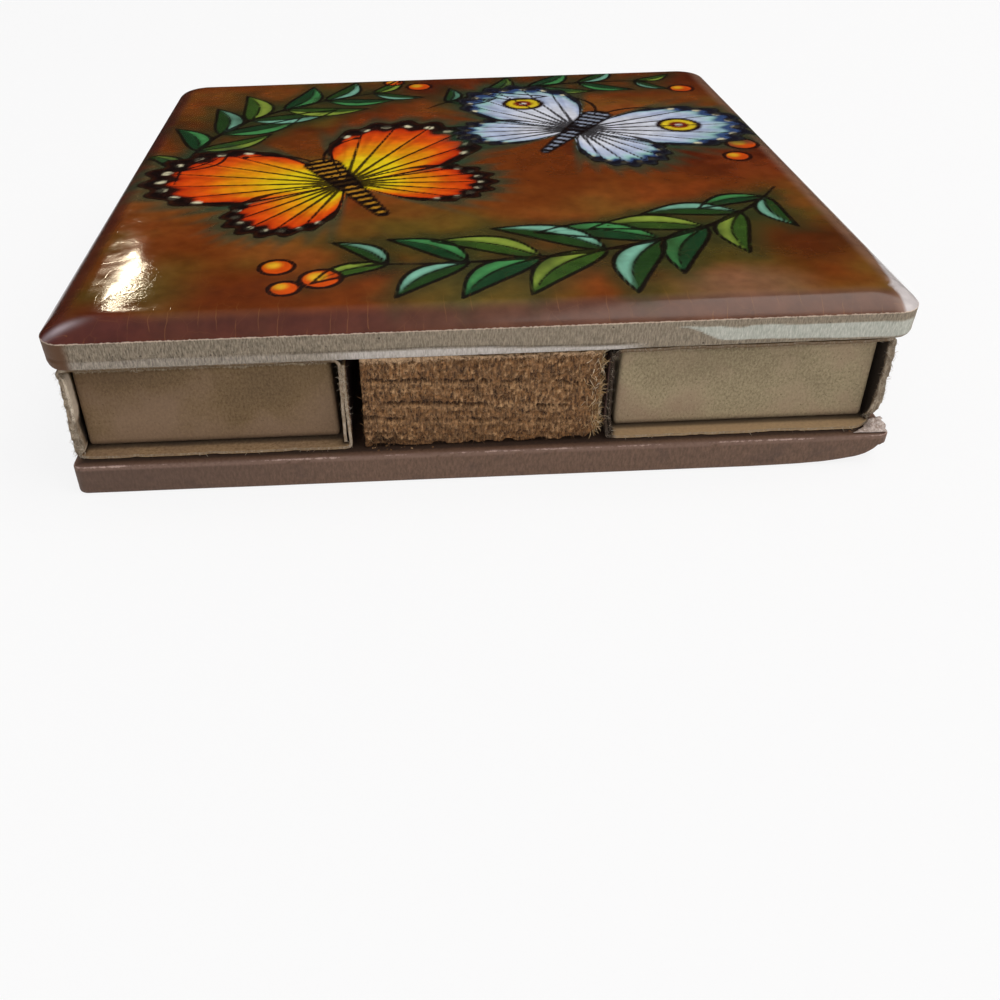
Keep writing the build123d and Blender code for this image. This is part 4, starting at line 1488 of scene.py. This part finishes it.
# Painted shade: a dark band along the foot of each panel, where it stands over the sleeve's floor.
foot = part("ramp", part("height", place), 6.0 * MM, 5.1 * MM, 0.0, 0.75)
specked = part("mix", foot, specked, "#33220f")
raw_edge = part("times", raw_share, mottle)
raw_edge = part("ramp", raw_edge, 0.3, 0.6, 0.0, 0.8)
edged = part("mix", raw_edge, specked, "#cbbca0")
dress(surface, edged, 0.85, mottle, 0.28)

for number_of_box, box_name in enumerate(box_names):
    low, high = box_of(box_name + "_drawer")
    points, faces, raw = tray(low, high, 10 * number_of_box, pinches[box_name])
    drawer = make_piece(box_name + "_drawer_tray", points * MM, faces, [drawer_paper], raw=raw)
    face_outwards(drawer)
    settle(drawer, "drawer_" + box_name, "drawer_card", box_name + "_drawer")

# %% [markdown]
# Torn wood and torn card end in fibres. Geometry Nodes scatter them: points are thrown over a skin, more of
# them where an attribute says the surface is frayed, and a hair is set on each point, turned between the
# surface's own direction and a lie that all hairs share. Three hairs with different bends are enough,
# because each copy gets its own size, turn and tone. The same tree later scatters crumbs.

# %% Scatter tree
scatter = bpy.data.node_groups.new("scatter_on_surface", "GeometryNodeTree")
scatter_inputs = {}
input_kinds = {"Surface": "Geometry", "Where": "String", "Density": "Float", "Seed": "Int",
               "Smallest": "Float", "Largest": "Float", "Lie": "Vector", "Lie share": "Float",
               "Spread": "Float", "Shapes": "Collection", "Finish": "Material"}
for label, kind in input_kinds.items():
    socket = scatter.interface.new_socket(name=label, in_out="INPUT", socket_type="NodeSocket" + kind)
    scatter_inputs[label] = socket.identifier
scatter.interface.new_socket(name="Result", in_out="OUTPUT", socket_type="NodeSocketGeometry")

given = add(scatter, "NodeGroupInput").outputs
frayed = add(scatter, "GeometryNodeInputNamedAttribute", {"Name": given["Where"]},
             data_type="FLOAT").outputs[0]
crowd = add(scatter, "ShaderNodeMath", {0: frayed, 1: given["Density"]}, operation="MULTIPLY").outputs[0]
thrown = add(scatter, "GeometryNodeDistributePointsOnFaces", {"Mesh": given["Surface"], "Density": crowd,
                                                              "Seed": given["Seed"]})
off_course = add(scatter, "FunctionNodeRandomValue", {0: (-1, -1, -1), 1: (1, 1, 1), "Seed": given["Seed"]},
                 data_type="FLOAT_VECTOR").outputs[0]
off_course = add(scatter, "ShaderNodeVectorMath", {0: off_course, "Scale": given["Spread"]},
                 operation="SCALE")
towards = add(scatter, "ShaderNodeMix", {0: given["Lie share"], 4: thrown.outputs["Normal"], 5: given["Lie"]},
              data_type="VECTOR").outputs[1]
towards = add(scatter, "ShaderNodeVectorMath", {0: towards, 1: off_course.outputs[0]}).outputs[0]
spin = add(scatter, "FunctionNodeRandomValue", {0: (0, 0, 0), 1: (6.28, 6.28, 6.28), "Seed": 5},
           data_type="FLOAT_VECTOR").outputs[0]
spun = add(scatter, "FunctionNodeEulerToRotation", {0: spin}).outputs[0]
aimed = add(scatter, "FunctionNodeAlignRotationToVector", {"Rotation": spun, "Vector": towards}, axis="Z")
size = add(scatter, "FunctionNodeRandomValue",
           {2: given["Smallest"], 3: given["Largest"], "Seed": 9}).outputs[1]
shapes = add(scatter, "GeometryNodeCollectionInfo", {"Collection": given["Shapes"], "Separate Children": True,
                                                     "Reset Children": True})
copies = add(scatter, "GeometryNodeInstanceOnPoints", {"Points": thrown.outputs["Points"],
                                                       "Instance": shapes.outputs[0], "Pick Instance": True,
                                                       "Rotation": aimed.outputs[0], "Scale": size})
tone = add(scatter, "FunctionNodeRandomValue", {2: 0.0, 3: 1.0, "Seed": 13}).outputs[1]
toned = add(scatter, "GeometryNodeStoreNamedAttribute", {"Geometry": copies.outputs[0], "Name": "tone",
                                                         "Value": tone}, data_type="FLOAT", domain="INSTANCE")
real = add(scatter, "GeometryNodeRealizeInstances", {0: toned.outputs[0]})
finished = add(scatter, "GeometryNodeSetMaterial", {"Geometry": real.outputs[0], "Material": given["Finish"]})
add(scatter, "NodeGroupOutput", {0: finished.outputs[0]})
print("scatter tree", len(scatter.nodes), "nodes")


def shape_kit(name, shapes):
    """A collection with one object for each (points, faces), all with as many points."""
    kit = bpy.data.collections.new(name)
    for k, (points, faces) in enumerate(shapes):
        mesh = bpy.data.meshes.new(f"{name}_{k}")
        mesh.from_pydata([tuple(p) for p in points], [], faces)
        mesh.polygons.foreach_set("use_smooth", [True] * len(mesh.polygons))
        kit.objects.link(bpy.data.objects.new(f"{name}_{k}", mesh))
    return kit


def scattered(host, kit, finish, where, density, seed, sizes, lie=(0, 0, 1), lie_share=0.0, spread=0.5):
    """Scatters a kit over a skin; gives each copy's points in millimetres, one copy's faces, and tones."""
    carrier = bpy.data.objects.new("carrier", host.data.copy())
    bpy.context.scene.collection.objects.link(carrier)
    modifier = carrier.modifiers.new("scatter", "NODES")
    modifier.node_group = scatter
    values = {"Where": where, "Density": density * 1e6, "Seed": seed, "Smallest": sizes[0] * MM,
              "Largest": sizes[1] * MM, "Lie": lie, "Lie share": lie_share, "Spread": spread, "Shapes": kit,
              "Finish": finish}
    for label, value in values.items():
        modifier[scatter_inputs[label]] = value
    carrier.data.update_tag()
    seen = carrier.evaluated_get(bpy.context.evaluated_depsgraph_get())
    mesh = bpy.data.meshes.new_from_object(seen)
    each = len(kit.objects[0].data.vertices)
    one_face_count = len(kit.objects[0].data.polygons)
    flat = np.empty(len(mesh.vertices) * 3)
    mesh.vertices.foreach_get("co", flat)
    tones = np.empty(len(mesh.vertices))
    mesh.attributes["tone"].data.foreach_get("value", tones)
    one = [list(face.vertices) for face in mesh.polygons[:one_face_count]]
    bpy.data.objects.remove(carrier)
    bpy.data.meshes.remove(mesh)
    return flat.reshape(-1, each, 3) / MM, one, tones.reshape(-1, each)


drawer_play = 0.06


def out_of_the_way(points):
    """Which copies stay clear of the drawers as they slide, and inside the box of the solids."""
    clear = np.ones(len(points), bool)
    for box_name in box_names:
        low, high = box_of(box_name + "_drawer")
        x, y, z = points[..., 0], points[..., 1], points[..., 2]
        outwards = y < high[1] if box_name.startswith("front") else y > low[1]
        in_width = (x > low[0] - drawer_play) & (x < high[0] + drawer_play)
        in_height = (z > low[2] - drawer_play) & (z < high[2] + drawer_play)
        clear &= ~(in_width & in_height & outwards).any(1)
    limits = np.array(cad_box) / MM
    inside = (points > limits[0] + 0.02).all(2) & (points < limits[1] - 0.02).all(2)
    return clear & inside.all(1)


def piece_of_copies(name, groups, finish, slot):
    """One piece from groups of scattered copies, without those that are in the way."""
    points, faces, tones, start = [], [], [], 0
    for places, one, tone_of in groups:
        keep = out_of_the_way(places)
        places, tone_of = places[keep], tone_of[keep]
        count, each = places.shape[:2]
        for k in range(count):
            faces += [[start + k * each + corner for corner in face] for face in one]
        points.append(places.reshape(-1, 3))
        tones.append(tone_of.ravel())
        start += count * each
    piece = make_piece(name, np.concatenate(points) * MM, faces, [finish], tone=np.concatenate(tones))
    settle(piece, "holder", slot)
    return piece

# %% [markdown]
# A hair is a thin three-sided spike that bends and sways as it rises. Wood tears into short stiff hairs and
# flat splinters, card into longer curled ones, so there are three kits of three hairs each.

# %% Hairs
def hair(bend, sway, thick, flat=1.0):
    """A tapering three-sided hair of length 1, standing on the origin."""
    points, faces = [], []
    steps = 3
    for k in range(steps + 1):
        t = k / steps
        half = thick * (1 - 0.7 * t ** 1.5)
        middle = (bend * t ** 2, sway * math.sin(2.4 * t), t * (1 - 0.25 * bend * t))
        for corner in range(3):
            angle = 2 * math.pi * corner / 3
            side, front = half * math.cos(angle), half * flat * math.sin(angle)
            points.append((middle[0] + side, middle[1] + front, middle[2]))
    for k in range(steps):
        for corner in range(3):
            a, b = 3 * k + corner, 3 * k + (corner + 1) % 3
            faces.append([a, b, b + 3, a + 3])
    faces += [[2, 1, 0], [3 * steps, 3 * steps + 1, 3 * steps + 2]]
    return points, faces


wood_hairs = shape_kit("wood_hair", [hair(0.3, 0.05, 0.05), hair(0.7, -0.12, 0.045),
                                     hair(-0.2, 0.2, 0.06, 0.5)])
splinters = shape_kit("splinter", [hair(0.35, 0.1, 0.05, 0.5), hair(0.7, 0.2, 0.04),
                                   hair(0.15, -0.1, 0.06, 0.6)])
card_hairs = shape_kit("card_hair", [hair(0.9, 0.2, 0.05), hair(-0.7, 0.3, 0.045),
                                     hair(0.3, -0.5, 0.06, 0.6)])

# %% [markdown]
# Loose fibres are the same wood and the same card, but thin, so more light comes through them and they look
# paler and warmer. Each hair has one tone of its own, from dark to bleached.

# %% Loose fibres
fibre_finishes = []
for name, dark_end, middle_tone, pale_end in (("loose_wood_fibre", "#4a2f18", "#7d5a36", "#b9946a"),
                                              ("bleached_splinter", "#9c7440", "#cfae7c", "#f3e4c6"),
                                              ("torn_card_fibre", "#85725c", "#b3a28a", "#e4d9c6")):
    finish, tree, surface = start_material(name)
    own_tone = part("fact", attribute_name="tone")
    place = part("place")
    along_it = part("noise", place, per(0.5), 2.0)
    mixed = part("times_plus", along_it, 0.5, own_tone)
    low_mix = part("ramp", mixed, 0.2, 0.75)
    high_mix = part("ramp", mixed, 0.8, 1.3)
    first = part("mix", low_mix, dark_end, middle_tone)
    second = part("mix", high_mix, first, pale_end)
    dress(surface, second, 0.7, along_it, 0.3, 0.05)
    fibre_finishes.append(finish)
wood_fibre, splinter_fibre, card_fibre = fibre_finishes

# %% [markdown]
# Now the fibres are thrown. On the wood they stand mostly upright, as the saw pulled them, some of them
# downwards, and a few pale splinters stick out where the lower right arris broke. On the card they are a
# short fluff along the torn edges.

# %% Fibres on the wood and the card
hairs_up = scattered(strip, wood_hairs, wood_fibre, "fray", 6.5, 21, (0.25, 0.85), (0, 0, 0.9), 0.72, 0.42)
hairs_down = scattered(strip, wood_hairs, wood_fibre, "fray", 3.5, 22, (0.25, 0.7), (0.1, 0, -0.9), 0.7, 0.5)
piece_of_copies("sawn_strip_hairs", [hairs_up, hairs_down], wood_fibre, "sawn_softwood")
rising = scattered(strip, splinters, splinter_fibre, "splinter", 26, 23, (0.3, 1.5),
                   (0.4, 0, 0.85), 0.75, 0.35)
falling = scattered(strip, splinters, splinter_fibre, "splinter", 20, 25, (0.3, 1.5),
                    (0.2, 0, -1.0), 0.75, 0.4)
piece_of_copies("sawn_strip_splinters", [rising, falling], splinter_fibre, "sawn_softwood")
for box_name in box_names:
    torn_edge = bpy.data.objects[box_name + "_sleeve_wrap"]
    fluff = scattered(torn_edge, card_hairs, card_fibre, "fray", 26, 24, (0.15, 0.6), (0, 0, -0.2), 0.3, 0.9)
    piece_of_copies(box_name + "_sleeve_fluff", [fluff], card_fibre, "sleeve_card")

# %% [markdown]
# Crumbs of glue and torn card lie on the ledge of the plate, before the strip and at the right corner. A
# crumb is a small lump with twelve corners pushed about, and the scatter tree throws it where the plate's
# own attribute says that dust gathers.

# %% Crumbs
def lump(seed, squat):
    """A crumb about 1 across: an icosahedron with its corners moved in and out."""
    shell = bmesh.new()
    bmesh.ops.create_icosphere(shell, subdivisions=1, radius=0.5)
    points = np.array([tuple(v.co) for v in shell.verts])
    faces = [[v.index for v in face.verts] for face in shell.faces]
    shell.free()
    uneven = noise(points[:, 0] * 3 + 7, points[:, 1] * 3 + points[:, 2] * 5, 1.0, seed)
    points = points * (0.7 + 0.6 * uneven)[:, None]
    return points * np.array([1, 0.7, squat]), faces


crumb_kit = shape_kit("crumb", [lump(1, 0.6), lump(2, 0.4), lump(3, 0.8)])
crumbs = scattered(plate, crumb_kit, wood_fibre, "dust", 1.3, 31, (0.15, 0.5), spread=0.3)
piece_of_copies("plate_crumbs", [crumbs], wood_fibre, "sawn_softwood")

# %% [markdown]
# At the front right corner the outer ply of the sleeve is torn off along its lower fold. The scrap still
# hangs there, bent outwards over the corner of the plate. It is a small sheet between four corners, bulged
# and creased, with its own thickness.

# %% Torn scrap at the front right corner
scrap_columns, scrap_rows = 14, 16
across, down = shares_over(scrap_columns, scrap_rows)
scrap_corners = np.array([(50.2, -53.3, 5.4), (51.9, -53.2, 5.9), (48.3, -54.7, 4.5), (52.5, -54.8, 4.5)])
top_edge, low_edge = (blended(*scrap_corners[k:k + 2], across) for k in (0, 2))
scrap = blended(top_edge, low_edge, down)
crease = clouds(across * 5, down * 4, 1.0, 110) - 0.5
scrap[..., 1] -= 0.35 * np.sin(math.pi * down) * (0.6 + crease) + 0.12 * crease
scrap[..., 2] += 0.25 * np.sin(math.pi * down) * across + 0.2 * crease * (1 - down)
scrap[..., 0] += 0.7 * (clouds(down * 7, 0 * down, 1.0, 111) - 0.5) * (2 * across - 1)
scrap[..., 2] += 0.5 * (1 - down) * (clouds(across * 6, 0 * across, 1.0, 112) - 0.5)
scrap[..., 2] = np.minimum(scrap[..., 2], 4.8 + 3 * np.clip(scrap[..., 0] - 50.25, 0, None))
scrap_points = np.concatenate([scrap.reshape(-1, 3), scrap.reshape(-1, 3) + np.array([0.03, 0.22, -0.06])])
torn_core, tree, surface = start_material("torn_card_core")
place = part("place")
woolly = part("noise", place, per(0.35), 5.0, 0.75)
felted = part("ramp", woolly, 0.35, 0.65)
felt = part("mix", felted, "#8c7769", "#dccfc6")
dress(surface, felt, 0.9, woolly, 0.6)
torn_scrap = make_piece("front_right_sleeve_scrap", scrap_points * MM, sheet(scrap_columns, scrap_rows),
                        [torn_core])
face_outwards(torn_scrap)
settle(torn_scrap, "holder", "sleeve_card")

# %% [markdown]
# The glue pads stay as they were built, because they are thin films between flat faces. Old wood glue is
# yellow-brown, glassy and a little cloudy.

# %% Set glue
glue, tree, surface = start_material("set_wood_glue")
place = part("place")
cloudy = part("noise", place, per(1.5), 4.0)
amber = part("mix", cloudy, "#6d4a22", "#a98a55")
glossy = part("ramp", cloudy, 0, 1, 0.2, 0.4)
dress(surface, amber, glossy, cloudy, 0.3, 0.1)
for node_name, node in frame["nodes"].items():
    if "_glue_" in node_name:
        node.data.materials.clear()
        node.data.materials.append(glue)
